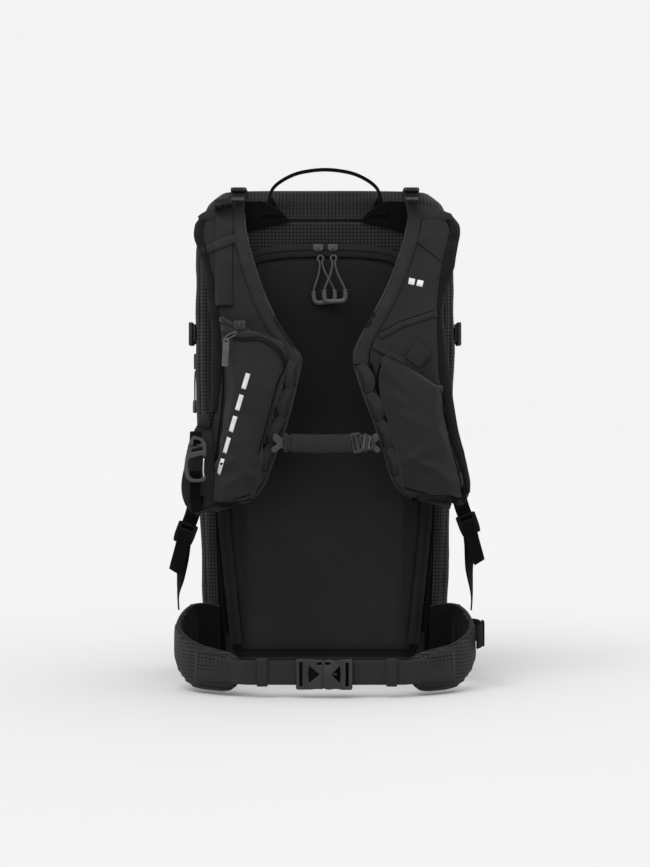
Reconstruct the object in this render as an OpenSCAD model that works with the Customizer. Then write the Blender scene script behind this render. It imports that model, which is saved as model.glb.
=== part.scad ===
// Avalanche airbag backpack with a vest harness, a buckled hip belt and an electric blower.
// The pack stands on its base at z = 0 with its harness side facing -Y.
// Left is -X and right is +X, as seen from the harness side.

/* [Bag] */
// Height of the bag above its base
bag_h = 540; // [520:2:560]
// Width of the bag at its widest
bag_w = 286; // [280:2:300]
// Thickness of the lined fabric walls
wall = 3; // [2:0.5:3.5]
// Thickness of the foam in the back door
door_t = 7.5; // [6:0.5:8]

/* [Harness] */
// Thickness of the padded shoulder straps
strap_t = 12; // [9:1:13]
// How deep the pocket for the trigger handle stands off its strap
pocket_d = 17; // [16:1:20]
// Width of the webbing below the shoulder straps
webbing_w = 20; // [16:1:22]

/* [Hip belt] */
// Thickness of the padded hip wings
wing_t = 12; // [8:1:14]
// Width of the hip webbing
hip_webbing_w = 25; // [20:1:26]

/* [Blower] */
// Outer radius of the blower housing
fan_r = 47; // [42:1:48]
// Number of impeller blades
blades = 9; // [5:1:13]

/* [Hidden] */
webbing_t = 1.8;
gap = 0.4;
base_t = 4;
seam_z = bag_h - 33;
back_y = -84;
door_y = back_y - gap - door_t;
belt_y = -266;
belt_z = 26;
sternum_z = 260;
sternum_y = -170;
fan_pos = [-56, -38, 365];
case_min = [4, -72, 322];
case_size = [106, 62, 92];
black = "#101011";
fabric = "#2f2f31";
ripstop = "#303032";
foam = "#202021";
plastic = "#4a4a4c";
metal = "#a9abad";
round_fn = 48;

// ---------- curves and lofts ----------

// One point of a Catmull-Rom curve between b and c, with a and d as their neighbours
function curve_point(a, b, c, d, t) =
    0.5 * (2 * b + (c - a) * t + (2 * a - 5 * b + 4 * c - d) * t * t
        + (3 * b - a - 3 * c + d) * t * t * t);

// A smooth row through every given row, with n steps between neighbours
function smooth(rows, n) = [
    for (i = [0:len(rows) - 2])
        for (k = [0:n - 1])
            curve_point(rows[max(i - 1, 0)], rows[i], rows[i + 1],
                rows[min(i + 2, len(rows) - 1)], k / n),
    rows[len(rows) - 1]
];

// Sum of the points of a loop, and twice its area as a vector
function total(loop, i = 0) = i == len(loop) ? [0, 0, 0] : loop[i] + total(loop, i + 1);
function area(loop) =
    total([for (j = [0:len(loop) - 1]) cross(loop[j], loop[(j + 1) % len(loop)])]);

// Closed solid through a row of loops that all have the same number of points.
// A cup starts with the loops of its inside, so its faces turn the other way.
module loft(loops, cup = false) {
    n = len(loops[0]);
    last = (len(loops) - 1) * n;
    ahead = area(loops[0]) * (total(loops[1]) - total(loops[0])) > 0;
    turned = ahead == cup;
    sides = [
        for (i = [0:len(loops) - 2])
            for (j = [0:n - 1])
                let (a = i * n + j, b = i * n + (j + 1) % n)
                    each turned
                        ? [[a, b, a + n], [b, b + n, a + n]]
                        : [[a, a + n, b], [b, a + n, b + n]]
    ];
    first = [for (j = [0:n - 1]) j];
    end = [for (j = [n - 1:-1:0]) last + j];
    caps = turned ? [[for (j = [n - 1:-1:0]) j], [for (j = [0:n - 1]) last + j]] : [first, end];
    polyhedron(points = [for (p = loops) each p], faces = concat(sides, caps));
}

// An upright wall that follows rows of [x, y, lowest z, highest z]
module upright_wall(rows, t) {
    loft([
        for (i = [0:len(rows) - 1])
            let (a = rows[max(i - 1, 0)], b = rows[min(i + 1, len(rows) - 1)], r = rows[i],
                along = [b[0] - a[0], b[1] - a[1]] / norm([b[0] - a[0], b[1] - a[1]]),
                p = [r[0], r[1]], side = [-along[1], along[0]] * t / 2)
                [[each (p + side), r[2]], [each (p - side), r[2]],
                 [each (p - side), r[3]], [each (p + side), r[3]]]
    ]);
}

// A flat ribbon that follows rows of [x, y, z, turn], where turn is its width's angle from +X
module ribbon(rows, w, t) {
    points = [for (r = rows) [r[0], r[1], r[2]]];
    loft([
        for (i = [0:len(rows) - 1])
            let (a = points[max(i - 1, 0)], b = points[min(i + 1, len(rows) - 1)],
                across = [cos(rows[i][3]), sin(rows[i][3]), 0],
                up = cross(across, b - a) / norm(cross(across, b - a)) * t / 2, s = across * w / 2)
                [points[i] + s + up, points[i] - s + up, points[i] - s - up, points[i] + s - up]
    ]);
}

// Makes the piece and its mirror image on the other side
module both_sides() {
    children();
    mirror([1, 0, 0]) children();
}

// ---------- bag ----------

// Half width, back and front of the bag's outline at each height
function half_w(z) = bag_w / 2 - lookup(z / bag_h,
    [[0, 18], [0.022, 12], [0.085, 9], [0.31, 5], [0.61, 0], [0.88, 0], [0.94, 5], [0.975, 14], [1, 30]]);
function back_at(z) = back_y + lookup(z / bag_h,
    [[0, 18], [0.022, 7], [0.06, 0], [0.88, 0], [0.94, 2], [0.975, 9], [1, 22]]);
function front_at(z) = lookup(z / bag_h,
    [[0, 70], [0.022, 82], [0.085, 94], [0.37, 98], [0.74, 88], [0.88, 66], [0.94, 44], [0.975, 18], [1, -8]]);

corner_steps = 6;
// One corner of the outline, rounded about its centre
function corner(x, y, r, z, from) = [
    for (i = [0:corner_steps])
        let (a = from + 90 * i / corner_steps)
            [x + r * cos(a), y + r * sin(a), z]
];

// The bag's outline at height z, drawn in by inset: back left, back right, front right, front left
function outline(z, inset) =
    let (w = half_w(z) - inset, b = back_at(z) + inset, f = front_at(z) - inset,
        rb = min(18, (f - b) / 2 - 1), rf = min(38, (f - b) / 2 - 1))
        concat(
            corner(-w + rb, b + rb, rb, z, 180), corner(w - rb, b + rb, rb, z, 270),
            corner(w - rf, f - rf, rf, z, 0), corner(-w + rf, f - rf, rf, z, 90));

wall_levels = [base_t, 12, 24, 46, 100, 168, 250, 330, 400, 475, seam_z];
top_levels = [seam_z, bag_h - 24, bag_h - 14, bag_h - 6, bag_h];
mid = corner_steps / 2;
loop_n = 4 * (corner_steps + 1);

// The part of the wall between two points of the outline, over the full wall height
module wall_patch(from, to) {
    loft([
        for (z = wall_levels)
            let (out = outline(z, 0), in = outline(z, wall))
                concat([for (i = [from:to]) out[i % loop_n]], [for (i = [to:-1:from]) in[i % loop_n]])
    ]);
}

module top_panel() {
    color(ripstop)
        loft(concat(
            [for (i = [len(top_levels) - 1:-1:0])
                let (z = top_levels[i]) outline(min(z, bag_h - wall), wall + 0.01 * i)],
            [for (z = top_levels) outline(z, 0)]), cup = true);
}

module base_panel() {
    color(black)
        linear_extrude(base_t)
            polygon([for (p = outline(base_t, 0)) [p[0], p[1]]]);
}

module side_panel_left() {
    color(ripstop) wall_patch(3 * corner_steps + 3 + mid, loop_n + mid);
}

module side_panel_right() {
    color(ripstop) wall_patch(corner_steps + 1 + mid, 2 * corner_steps + 2 + mid);
}

module front_panel() {
    color(fabric) wall_patch(2 * corner_steps + 2 + mid, 3 * corner_steps + 3 + mid);
}

cable_exit = [-97, 496];
module back_wall() {
    color(fabric)
        difference() {
            wall_patch(mid, corner_steps + 1 + mid);
            translate([cable_exit[0], 0, cable_exit[1]])
                rotate([90, 0, 0]) cylinder(r = 4, h = 120, $fn = round_fn);
        }
}

// ---------- back door and frame ----------

door_bottom = 26;
door_top = 472;
// Outline of the door, grown by d: narrow at the base and arched at the top
function door_side(d) = [
    [98 + d, door_bottom - d], [113 + d, 170], [119 + d, 300], [118 + d, 390], [108 + d, 436 + d],
    [92 + d, 458 + d], [74, 466 + d], [40, 471 + d]
];
function door_outline(d) = concat(
    door_side(d), [for (i = [len(door_side(d)) - 1:-1:0]) [-door_side(d)[i][0], door_side(d)[i][1]]]);

// A flat plate drawn in the plane of the back, from y_front to y_back
module back_plate(y_front, y_back) {
    translate([0, y_back, 0])
        rotate([90, 0, 0])
            linear_extrude(y_back - y_front) children();
}

module back_surround() {
    surround_t = 5.5;
    color(black)
        back_plate(back_y - gap - surround_t, back_y - gap)
            difference() {
                polygon([
                    [-110, 20], [110, 20], [122, 170], [125, 330], [125, 480], [118, 503],
                    [-118, 503], [-125, 480], [-125, 330], [-122, 170]
                ]);
                polygon(door_outline(1.5));
                translate(cable_exit) circle(r = 4, $fn = round_fn);
            }
}

module back_panel() {
    color(foam)
        back_plate(door_y, back_y - gap)
            polygon(door_outline(-1.5));
}

module back_zip() {
    color(black)
        back_plate(door_y - 1.6, door_y - 0.2)
            difference() {
                polygon(door_outline(4));
                polygon(door_outline(-5));
                translate([-200, 0]) square([400, 60]);
            }
}

module frame_sheet() {
    color("#c8c8c4")
        back_plate(back_y + wall + 0.5, back_y + wall + 2)
            difference() {
                polygon([[-92, 44], [92, 44], [104, 170], [104, 440], [88, 462], [-88, 462], [-104, 440], [-104, 170]]);
                for (z = [110, 180, 250])
                    translate([-60, z]) square([120, 22]);
            }
}

// An upside-down U of round bar behind the frame sheet
module frame_rod() {
    rod_r = 2.5;
    bend_r = 30;
    rod_y = back_y + wall + 5.5;
    color(metal)
        translate([0, rod_y, 0]) {
            both_sides() {
                translate([-84, 0, 50]) cylinder(r = rod_r, h = 370, $fn = round_fn);
                translate([-84 + bend_r, 0, 420])
                    rotate([90, 0, 0])
                        rotate([0, 0, 90])
                            rotate_extrude(angle = 90, $fn = round_fn)
                                translate([bend_r, 0]) circle(r = rod_r, $fn = round_fn);
            }
            translate([-84 + bend_r, 0, 420 + bend_r])
                rotate([0, 90, 0]) cylinder(r = rod_r, h = 2 * (84 - bend_r), $fn = round_fn);
        }
}

module divider() {
    color(fabric)
        translate([-126, 42, base_t + 14]) cube([252, 2, 400]);
}

// ---------- zips on the front and the side ----------

module front_zip() {
    color(black)
        both_sides()
            ribbon([for (z = [70:40:190]) [-66, front_at(z) + 1.4, z, 0]], 8, 1.4);
}

side_x = -(bag_w / 2 + 1.6);
module side_zip() {
    color(black)
        ribbon([for (z = [220:30:370]) [side_x, -4, z, 90]], 8, 1.4);
}

module side_slider() {
    color(plastic)
        translate([side_x - 5, -8, 343])
            cube([4, 8, 18]);
}

module side_pull() {
    cord_r = 1.1;
    tube_r = 2.4;
    color(black)
        translate([side_x - 3.8, -4, 0]) {
            translate([0, 0, 308.5]) cylinder(r = cord_r, h = 34, $fn = round_fn);
            translate([0, 0, 293]) cylinder(r = tube_r, h = 15.5, $fn = round_fn);
        }
}

module compression_straps() {
    color(black)
        both_sides()
            translate([side_x - 0.9, 0, 372])
                cube([webbing_t, 60, webbing_w]);
}

// A flat hook that holds the end of one side strap
module compression_hook() {
    hook_t = 6;
    color(plastic)
        translate([side_x - 9, -44, 369])
            difference() {
                cube([hook_t, 40, 26]);
                translate([-1, 6, 4]) cube([hook_t + 2, 5, 18]);
                translate([-1, 28, 4]) cube([hook_t + 2, 5, 18]);
                translate([-1, 15, 8]) cube([hook_t + 2, 9, 19]);
            }
}

module compression_buckle_left() {
    compression_hook();
}

module compression_buckle_right() {
    mirror([1, 0, 0]) compression_hook();
}

// ---------- blower, power unit and airbag ----------

airbag_z = 432;
module airbag_folded() {
    color("#d8551c")
        translate([-108, -62, airbag_z])
            union() {
                cube([216, 92, 20]);
                for (i = [0:2])
                    translate([4 + 3 * i, 3 * i, 20.5 + 15 * i]) cube([208 - 6 * i, 92 - 6 * i, 14.5]);
            }
}

duct_x = -84;
duct_r = 15;
module air_duct() {
    color(black)
        translate([duct_x, fan_pos[1], 0])
            difference() {
                translate([0, 0, fan_pos[2] + 38]) cylinder(r = duct_r, h = 28, $fn = round_fn);
                translate([0, 0, fan_pos[2]]) cylinder(r = duct_r - 2, h = 80, $fn = round_fn);
            }
}

housing_l = 46;
module fan_housing() {
    shell = 2.5;
    color(plastic)
        difference() {
            translate(fan_pos)
                rotate([90, 0, 0])
                    difference() {
                        cylinder(r = fan_r, h = housing_l, center = true, $fn = 64);
                        cylinder(r = fan_r - shell, h = housing_l - 2 * shell, center = true, $fn = 64);
                        translate([0, 0, -housing_l]) cylinder(r = 24, h = housing_l, $fn = 64);
                        cylinder(r = 5, h = housing_l, $fn = round_fn);
                    }
            translate([duct_x, fan_pos[1], fan_pos[2]])
                cylinder(r = duct_r + 0.3, h = 80, $fn = round_fn);
        }
}

module fan_motor() {
    color(metal)
        translate([fan_pos[0], fan_pos[1] - 1.5, fan_pos[2]])
            rotate([90, 0, 0]) {
                cylinder(r = 14, h = 19, $fn = round_fn);
                translate([0, 0, -12]) cylinder(r = 2, h = 12, $fn = round_fn);
            }
}

module fan_impeller() {
    color(plastic)
        translate(fan_pos)
            rotate([-90, 0, 0])
                difference() {
                    union() {
                        translate([0, 0, 0.5]) cylinder(r = 36, h = 2, $fn = 64);
                        translate([0, 0, 0.5]) cylinder(r = 7, h = 13, $fn = round_fn);
                        for (i = [0:blades - 1])
                            rotate(i * 360 / blades)
                                translate([6, -0.8, 2.4]) cube([29, 1.6, 13]);
                    }
                    cylinder(r = 2.06, h = 40, center = true, $fn = round_fn);
                }
}

button_at = [97, case_min[1], 398];
button_r = 7;
module power_case() {
    shell = 2.5;
    color(plastic)
        difference() {
            translate(case_min) cube(case_size);
            translate(case_min + [shell, shell, shell]) cube(case_size - 2 * [shell, shell, shell]);
            translate(button_at)
                rotate([90, 0, 0]) cylinder(r = button_r + 0.3, h = 12, center = true, $fn = round_fn);
        }
}

module capacitor_cells() {
    cell_r = 16.3;
    pitch = 2 * cell_r + 0.6;
    color("#3c4f8a")
        for (i = [-1:1])
            translate([case_min[0] + case_size[0] / 2 + pitch * i, -38, case_min[2] + 3])
                cylinder(r = cell_r, h = 62, $fn = 64);
}

module power_button() {
    color("#b3322a")
        translate(button_at)
            rotate([-90, 0, 0]) {
                translate([0, 0, -3]) cylinder(r = button_r, h = 6, $fn = round_fn);
                translate([0, 0, 3]) cylinder(r = button_r + 2, h = 1.5, $fn = round_fn);
            }
}

// The trigger cable inside the bag: up from the power case, across and out through the back
module trigger_cable() {
    cable_r = 1.5;
    cable_y = -68;
    start_x = 30;
    color(black) {
        translate([start_x, cable_y, case_min[2] + case_size[2] + 0.2])
            cylinder(r = cable_r, h = cable_exit[1] - case_min[2] - case_size[2] - 0.2, $fn = round_fn);
        for (x = [start_x, cable_exit[0]])
            translate([x, cable_y, cable_exit[1]]) sphere(r = cable_r, $fn = round_fn);
        translate([cable_exit[0], cable_y, cable_exit[1]])
            rotate([0, 90, 0]) cylinder(r = cable_r, h = start_x - cable_exit[0], $fn = round_fn);
        translate([cable_exit[0], cable_y, cable_exit[1]])
            rotate([90, 0, 0]) cylinder(r = cable_r, h = 30, $fn = round_fn);
    }
}

// ---------- shoulder straps ----------

// Where the middle of a strap lies in front of the bag at each height
function strap_y(z) = lookup(z, [
    [180, -130], [210, -138], [250, -148], [300, -154], [350, -155], [400, -150],
    [440, -141], [470, -130], [496, -116], [512, -106], [526, -99]
]);

// A point at x and z, lifted off the middle of the strap
function on_strap(x, z, lift) =
    let (slope = (strap_y(z + 2) - strap_y(z - 2)) / 4, n = [0, -1, slope] / norm([1, slope]))
        [x, strap_y(z), z] + n * lift;

// A pad over rows of [outer x, outer z, inner x, inner z], from a to b across and low to high
module strap_pad(rows, a, b, low, high) {
    loft([
        for (r = rows)
            let (x = r[0], z = r[1], dx = r[2] - r[0], dz = r[3] - r[1])
                [on_strap(x + dx * a, z + dz * a, low), on_strap(x + dx * b, z + dz * b, low),
                 on_strap(x + dx * b, z + dz * b, high), on_strap(x + dx * a, z + dz * a, high)]
    ]);
}

left_rows = [
    [-142, 511, -88, 525], [-143, 494, -81, 489], [-134, 466, -70, 452], [-126, 424, -54, 408],
    [-120, 381, -33, 370], [-120, 352, -19, 352], [-121, 327, -21, 334], [-129, 273, -36, 274],
    [-143, 247, -46, 250], [-152, 220, -57, 220], [-155, 203, -69, 201], [-146, 184, -84, 191]
];
right_rows = [
    [143, 513, 91, 525], [144, 496, 84, 490], [137, 473, 72, 455], [129, 430, 56, 418],
    [127, 394, 36, 382], [128, 368, 24, 356], [131, 327, 27, 334], [137, 284, 45, 284],
    [147, 247, 56, 252], [156, 220, 64, 226], [159, 203, 76, 206], [150, 188, 90, 196]
];

module shoulder_strap_left() {
    color(fabric) strap_pad(smooth(left_rows, 2), 0, 1, -strap_t / 2, strap_t / 2);
}

module shoulder_strap_right() {
    color(fabric) strap_pad(smooth(right_rows, 2), 0, 1, -strap_t / 2, strap_t / 2);
}

on_top = strap_t / 2 + gap;
module ladder_webbing() {
    color(black) {
        for (rows = [smooth(left_rows, 2), smooth(right_rows, 2)])
            strap_pad([for (i = [10:20]) rows[i]], 0.86, 0.99, on_top, on_top + webbing_t);
    }
}

pocket_rows = [
    [-116, 398, -42, 366], [-111, 343, -38, 341], [-112, 300, -46, 302], [-117, 262, -60, 262],
    [-121, 230, -65, 230], [-123, 200, -74, 204]
];

// A pocket on a strap: a front skin, two side walls and a closed foot, open at the top
module strap_pocket(rows, depth, skin) {
    edge = 0.05;
    seam = 0.05;
    low = on_top + webbing_t + gap;
    high = low + depth;
    under = high - skin - seam;
    last = len(rows) - 1;
    sides = [for (i = [0:last - 1]) rows[i] - (i == last - 1 ? [0, -seam, 0, -seam] : [0, 0, 0, 0])];
    strap_pad(rows, 0, 1, high - skin, high);
    strap_pad(sides, 0, edge, low, under);
    strap_pad(sides, 1 - edge, 1, low, under);
    strap_pad([rows[last - 1], rows[last]], 0, 1, low, under);
}

module handle_pocket() {
    color(fabric) strap_pocket(smooth(pocket_rows, 2), pocket_d - webbing_t, 2);
}

handle_low = 290;
module trigger_handle() {
    grip_w = 22;
    grip_t = 10;
    grip_y = strap_y(320) - on_top - 1.1 - grip_t;
    color("#a8241c")
        translate([-90, grip_y, handle_low])
            union() {
                difference() {
                    cube([grip_w, grip_t, 60]);
                    translate([6, -1, 10]) cube([10, grip_t + 2, 40]);
                }
                translate([grip_w / 2, grip_t / 2, 60]) cylinder(r = 2, h = 8, $fn = round_fn);
            }
}

stretch_rows = [
    [126, 392, 60, 352], [130, 330, 52, 322], [134, 284, 60, 284], [144, 247, 69, 252],
    [152, 220, 76, 226], [152, 204, 84, 208]
];
module stretch_pocket() {
    color(fabric) strap_pocket(smooth(stretch_rows, 2), 11, 1.6);
}

module pocket_tab() {
    color(black)
        translate([89, strap_y(352) - on_top - 17, 345])
            cube([25, 1.4, 22]);
}

pocket_top = strap_y(385) - on_top - pocket_d - 1;
module pocket_slider() {
    color(plastic)
        translate([-97, pocket_top - 5.2, 383])
            rotate([0, 23, 0]) cube([11, 2.6, 7]);
}

module pocket_pull() {
    color("#77787b")
        back_plate(pocket_top - 7.6, pocket_top - 6)
            polygon([
                [-97, 378], [-91, 378], [-91, 373], [-99.5, 369], [-102.5, 341],
                [-109.5, 341], [-106.5, 370], [-102, 374]
            ]);
}

sleeve_rows = [[-121, 514, -103, 520], [-121, 480, -103, 480], [-118, 440, -101, 440], [-116, 410, -100, 404]];
module cable_sleeve() {
    color(black) strap_pad(smooth(sleeve_rows, 2), 0, 1, on_top + 1.4, on_top + 5);
}

// ---------- load lifters, yokes and handle ----------

module strap_yokes() {
    color(black)
        both_sides()
            back_plate(back_y - gap - 8, back_y - gap - 6)
                polygon([[-84, 524], [-62, 527], [-48, 525], [-47, 513], [-37, 503], [-84, 491]]);
}

module lifter_buckles() {
    color(plastic)
        both_sides()
            translate([-106, -104, 532.5])
                rotate([20, 0, 0])
                    difference() {
                        cube([22, 16, 4]);
                        for (y = [3, 9])
                            translate([3, y, -1]) cube([16, 3, 6]);
                    }
}

module load_lifters() {
    color(black)
        both_sides()
            ribbon([[-95, -84, 540, 0], [-95, -78, 541, 0], [-95, -66, 542, 0], [-95, -40, 542, 0]], 16, webbing_t);
}

handle_y = -88;
module grab_handle() {
    rows = [[-63, 532], [-57, 543], [-45, 552], [-27, 559], [0, 562], [27, 559], [45, 552], [57, 543], [63, 532]];
    color(black)
        translate([0, handle_y + 8, 0])
            rotate([90, 0, 0])
                linear_extrude(16)
                    polygon(concat(rows, [for (i = [len(rows) - 1:-1:0]) rows[i] * 1 - [rows[i][0] * 0.04, 2.4]]));
}

// ---------- sternum strap ----------

module sternum_hooks() {
    hook_w = 15;
    color(plastic)
        for (x = [-56.5, 43])
            translate([x, sternum_y + 3.4, sternum_z - 10]) {
                difference() {
                    cube([hook_w, 3.6, 20]);
                    translate([4, -1, 4]) cube([7, 6, 12]);
                }
            }
}

module sternum_strap() {
    color(black) {
        translate([-50, sternum_y - 1, sternum_z - 9]) cube([82, 2.2, 18]);
        translate([33, sternum_y - 2.5, sternum_z - 12]) cube([14, 5, 24]);
        translate([48, sternum_y - 2, sternum_z - 9]) cube([9, 4, 18]);
    }
}

// ---------- snap hook ----------

hook_at = [-150, -168, 218];
module snap_hook() {
    color(plastic)
        translate(hook_at)
            rotate([90, 0, 0])
                linear_extrude(6)
                    difference() {
                        union() {
                            translate([4, 0]) square([16, 50]);
                            translate([0, 4]) square([24, 42]);
                            for (x = [4, 20], z = [4, 46])
                                translate([x, z]) circle(r = 4, $fn = round_fn);
                        }
                        translate([4, 40]) square([16, 5]);
                        translate([4, 31]) square([16, 5]);
                        translate([4, 5]) square([21, 21.5]);
                    }
}

gate_pivot = [hook_at[0] + 21.5, hook_at[1] - 3, hook_at[2] + 5.4];
module snap_gate() {
    color(metal)
        translate(gate_pivot)
            cylinder(r = 1.2, h = 20.6, $fn = round_fn);
}

// ---------- adjusters at the lower ends of the straps ----------

lock_at = [[-151, -131, 162], [155, -131, 172]];
module ladder_locks() {
    lock = [26, 5, 24];
    color(plastic)
        for (p = lock_at)
            translate(p - lock / 2)
                difference() {
                    cube(lock);
                    for (z = [3, 10, 17])
                        translate([3, -1, z]) cube([lock[0] - 6, lock[1] + 2, 4]);
                }
}

module webbing_tails() {
    color(black)
        for (p = lock_at)
            ribbon([[p[0], p[1] - 4.5, p[2] + 2, 0], [p[0] - 2, p[1] - 5, p[2] - 18, 8], [p[0] - 7, p[1] - 4, p[2] - 41, 20]],
                webbing_w - 4, webbing_t);
}

module lower_webbing() {
    color(black)
        for (p = lock_at) {
            s = sign(p[0]);
            ribbon(smooth([
                [p[0], p[1] + 6, p[2] - 19, 0], [p[0] + 3 * s, p[1] + 12, p[2] - 45, 40 * s],
                [s * 158, -112, 92, 80 * s], [s * 160, -106, 80, 80 * s]
            ], 3), webbing_w - 4, webbing_t);
        }
}

// ---------- hip belt ----------

wing_rows = [
    [-112, -98, 24, 84], [-134, -108, 26, 87], [-149, -130, 30, 84], [-157, -165, 28, 70],
    [-151, -192, 14, 61], [-136, -214, 3, 54], [-116, -232, 1, 50], [-98, -243, 2, 47], [-86, -249, 11, 39]
];
module hip_wing_left() {
    color(ripstop) upright_wall(smooth(wing_rows, 2), wing_t);
}

module hip_wing_right() {
    color(ripstop) mirror([1, 0, 0]) upright_wall(smooth(wing_rows, 2), wing_t);
}

function belt_row(x, y) = [x, y, belt_z - hip_webbing_w / 2, belt_z + hip_webbing_w / 2];
male_left = -29.6;
module hip_webbing() {
    color(black) {
        upright_wall([belt_row(-83, -255), belt_row(-79.5, -262), belt_row(-76, belt_y), belt_row(-27, belt_y)], webbing_t);
        upright_wall([belt_row(83, -255), belt_row(79.5, -262), belt_row(76, belt_y), belt_row(29, belt_y)], webbing_t);
    }
}

module hip_keepers() {
    keeper = [12, 5.6, 29.5];
    color(black)
        for (x = [-64, 68])
            translate([x - keeper[0] / 2, belt_y - keeper[1] / 2, belt_z - keeper[2] / 2])
                difference() {
                    cube(keeper);
                    translate([-1, 1.2, 1.5]) cube([keeper[0] + 2, keeper[1] - 2.4, keeper[2] - 3]);
                }
}

buckle_z = 24.5;
buckle_h = 31;
module hip_buckle_female() {
    long = 30;
    t = 12;
    color(plastic)
        translate([-2, belt_y, buckle_z])
            difference() {
                translate([0, -t / 2, -buckle_h / 2]) cube([long, t, buckle_h]);
                translate([-1, -3.6, -11.6]) cube([19, 7.2, 23.2]);
                translate([6, -3.6, -buckle_h]) cube([8, 7.2, 2 * buckle_h]);
                translate([22, -t, -12]) cube([4, 2 * t, 24]);
                rotate([90, 0, 0]) translate([0, 12, -t]) cylinder(r = 2, h = 2 * t, $fn = round_fn);
            }
}

module hip_buckle_male() {
    t = 10;
    color(plastic)
        translate([0, belt_y, buckle_z])
            difference() {
                union() {
                    translate([male_left, -t / 2, -buckle_h / 2]) cube([27, t, buckle_h]);
                    for (z = [-11, 7])
                        translate([-3, -3, z]) cube([18, 6, 4]);
                    translate([-3, -3, -2]) cube([16, 6, 4]);
                }
                translate([male_left - 1, -1.6, belt_z - buckle_z - 13]) cube([25.6, 3.2, 26]);
            }
}

module gear_loop() {
    color(black)
        upright_wall([[159.5, -196, 38, 70], [166.6, -167, 40, 72], [159.5, -130, 42, 74]], webbing_t);
}

// ---------- slider and pull on each side of the back zip ----------

zip_y = door_y - 1.6;
zip_z = 474;
pull_lift = [3.4, 9.6];
module slider_at(x, lift) {
    color(plastic)
        translate([x - 5.5, zip_y - gap - lift, zip_z - 4]) {
            cube([11, lift, 8]);
            translate([4.7, -3.2, -0.2]) cube([1.6, 3.2, 4]);
        }
}

// Two cords from the slider to the ends of a stiff tube bent to a U, leaning by the given angle
module pull_at(x, lift, lean) {
    cord_r = 1.2;
    tube_r = 2.7;
    drop = 40;
    leg = 12;
    u_w = 11.5;
    color(black)
        translate([x, zip_y - gap - lift - 1.8, zip_z - 7.2])
            rotate([0, lean, 0]) {
                for (s = [-1, 1]) {
                    rotate([0, s * atan(u_w / drop), 0])
                        translate([0, 0, -norm([u_w, drop])])
                            cylinder(r = cord_r, h = norm([u_w, drop]), $fn = round_fn);
                    translate([s * u_w, 0, -drop - leg]) cylinder(r = tube_r, h = leg, $fn = round_fn);
                    translate([s * u_w, 0, -drop - leg]) sphere(r = tube_r, $fn = round_fn);
                }
                translate([-u_w, 0, -drop - leg])
                    rotate([0, 90, 0]) cylinder(r = tube_r, h = 2 * u_w, $fn = round_fn);
            }
}

module zip_slider_left() {
    slider_at(-7.5, pull_lift[0]);
}

module zip_slider_right() {
    slider_at(8.5, pull_lift[0]);
}

module zip_pull_left() {
    pull_at(-7.5, pull_lift[0], -6);
}

module zip_pull_right() {
    pull_at(8.5, pull_lift[1], -2);
}

top_panel();
base_panel();
side_panel_left();
side_panel_right();
front_panel();
back_wall();
back_surround();
back_panel();
back_zip();
frame_sheet();
frame_rod();
divider();
front_zip();
airbag_folded();
fan_housing();
fan_motor();
fan_impeller();
air_duct();
power_case();
capacitor_cells();
power_button();
trigger_cable();
strap_yokes();
load_lifters();
lifter_buckles();
shoulder_strap_left();
shoulder_strap_right();
handle_pocket();
trigger_handle();
stretch_pocket();
pocket_tab();
pocket_slider();
pocket_pull();
ladder_webbing();
cable_sleeve();
sternum_hooks();
sternum_strap();
snap_hook();
snap_gate();
ladder_locks();
webbing_tails();
lower_webbing();
grab_handle();
zip_slider_left();
zip_slider_right();
zip_pull_left();
zip_pull_right();
hip_wing_left();
hip_wing_right();
hip_webbing();
hip_keepers();
hip_buckle_female();
hip_buckle_male();
gear_loop();
compression_straps();
compression_buckle_left();
compression_buckle_right();
side_zip();
side_slider();
side_pull();
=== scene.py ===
import math

import bpy
import numpy as np
from mathutils import Matrix, Vector, noise
from mathutils.bvhtree import BVHTree


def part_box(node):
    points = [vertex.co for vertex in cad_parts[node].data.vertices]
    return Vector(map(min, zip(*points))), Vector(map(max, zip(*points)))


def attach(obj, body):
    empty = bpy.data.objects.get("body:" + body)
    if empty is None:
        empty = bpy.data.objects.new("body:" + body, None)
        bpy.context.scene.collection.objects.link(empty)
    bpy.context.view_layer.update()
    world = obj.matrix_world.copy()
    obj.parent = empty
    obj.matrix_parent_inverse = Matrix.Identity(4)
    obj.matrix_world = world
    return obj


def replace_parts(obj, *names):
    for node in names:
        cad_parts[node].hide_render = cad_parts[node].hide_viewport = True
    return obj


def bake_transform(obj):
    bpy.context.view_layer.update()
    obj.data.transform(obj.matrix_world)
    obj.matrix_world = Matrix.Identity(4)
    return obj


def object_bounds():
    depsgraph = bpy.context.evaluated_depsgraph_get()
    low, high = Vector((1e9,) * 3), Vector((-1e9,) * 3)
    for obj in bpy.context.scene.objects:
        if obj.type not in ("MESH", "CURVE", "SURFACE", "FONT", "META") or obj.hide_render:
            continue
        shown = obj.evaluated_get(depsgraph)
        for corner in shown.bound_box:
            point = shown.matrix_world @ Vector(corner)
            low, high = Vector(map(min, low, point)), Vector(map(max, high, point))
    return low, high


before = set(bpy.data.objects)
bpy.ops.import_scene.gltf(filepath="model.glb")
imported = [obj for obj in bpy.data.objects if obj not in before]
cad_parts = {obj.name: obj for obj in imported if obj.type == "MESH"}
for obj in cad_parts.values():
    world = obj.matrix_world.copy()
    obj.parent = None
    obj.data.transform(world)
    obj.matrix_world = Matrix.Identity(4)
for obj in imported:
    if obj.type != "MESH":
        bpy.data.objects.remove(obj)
cad_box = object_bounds()

MM = 0.001
FRONT = Vector((0, -1, 0))
SIDES = ("left", "right")
BOTH = ((-1, "left"), (1, "right"))


# ---------- small helpers ----------

def centre(node):
    low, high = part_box(node)
    return Vector([(low[i] + high[i]) / 2 for i in range(3)])


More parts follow.
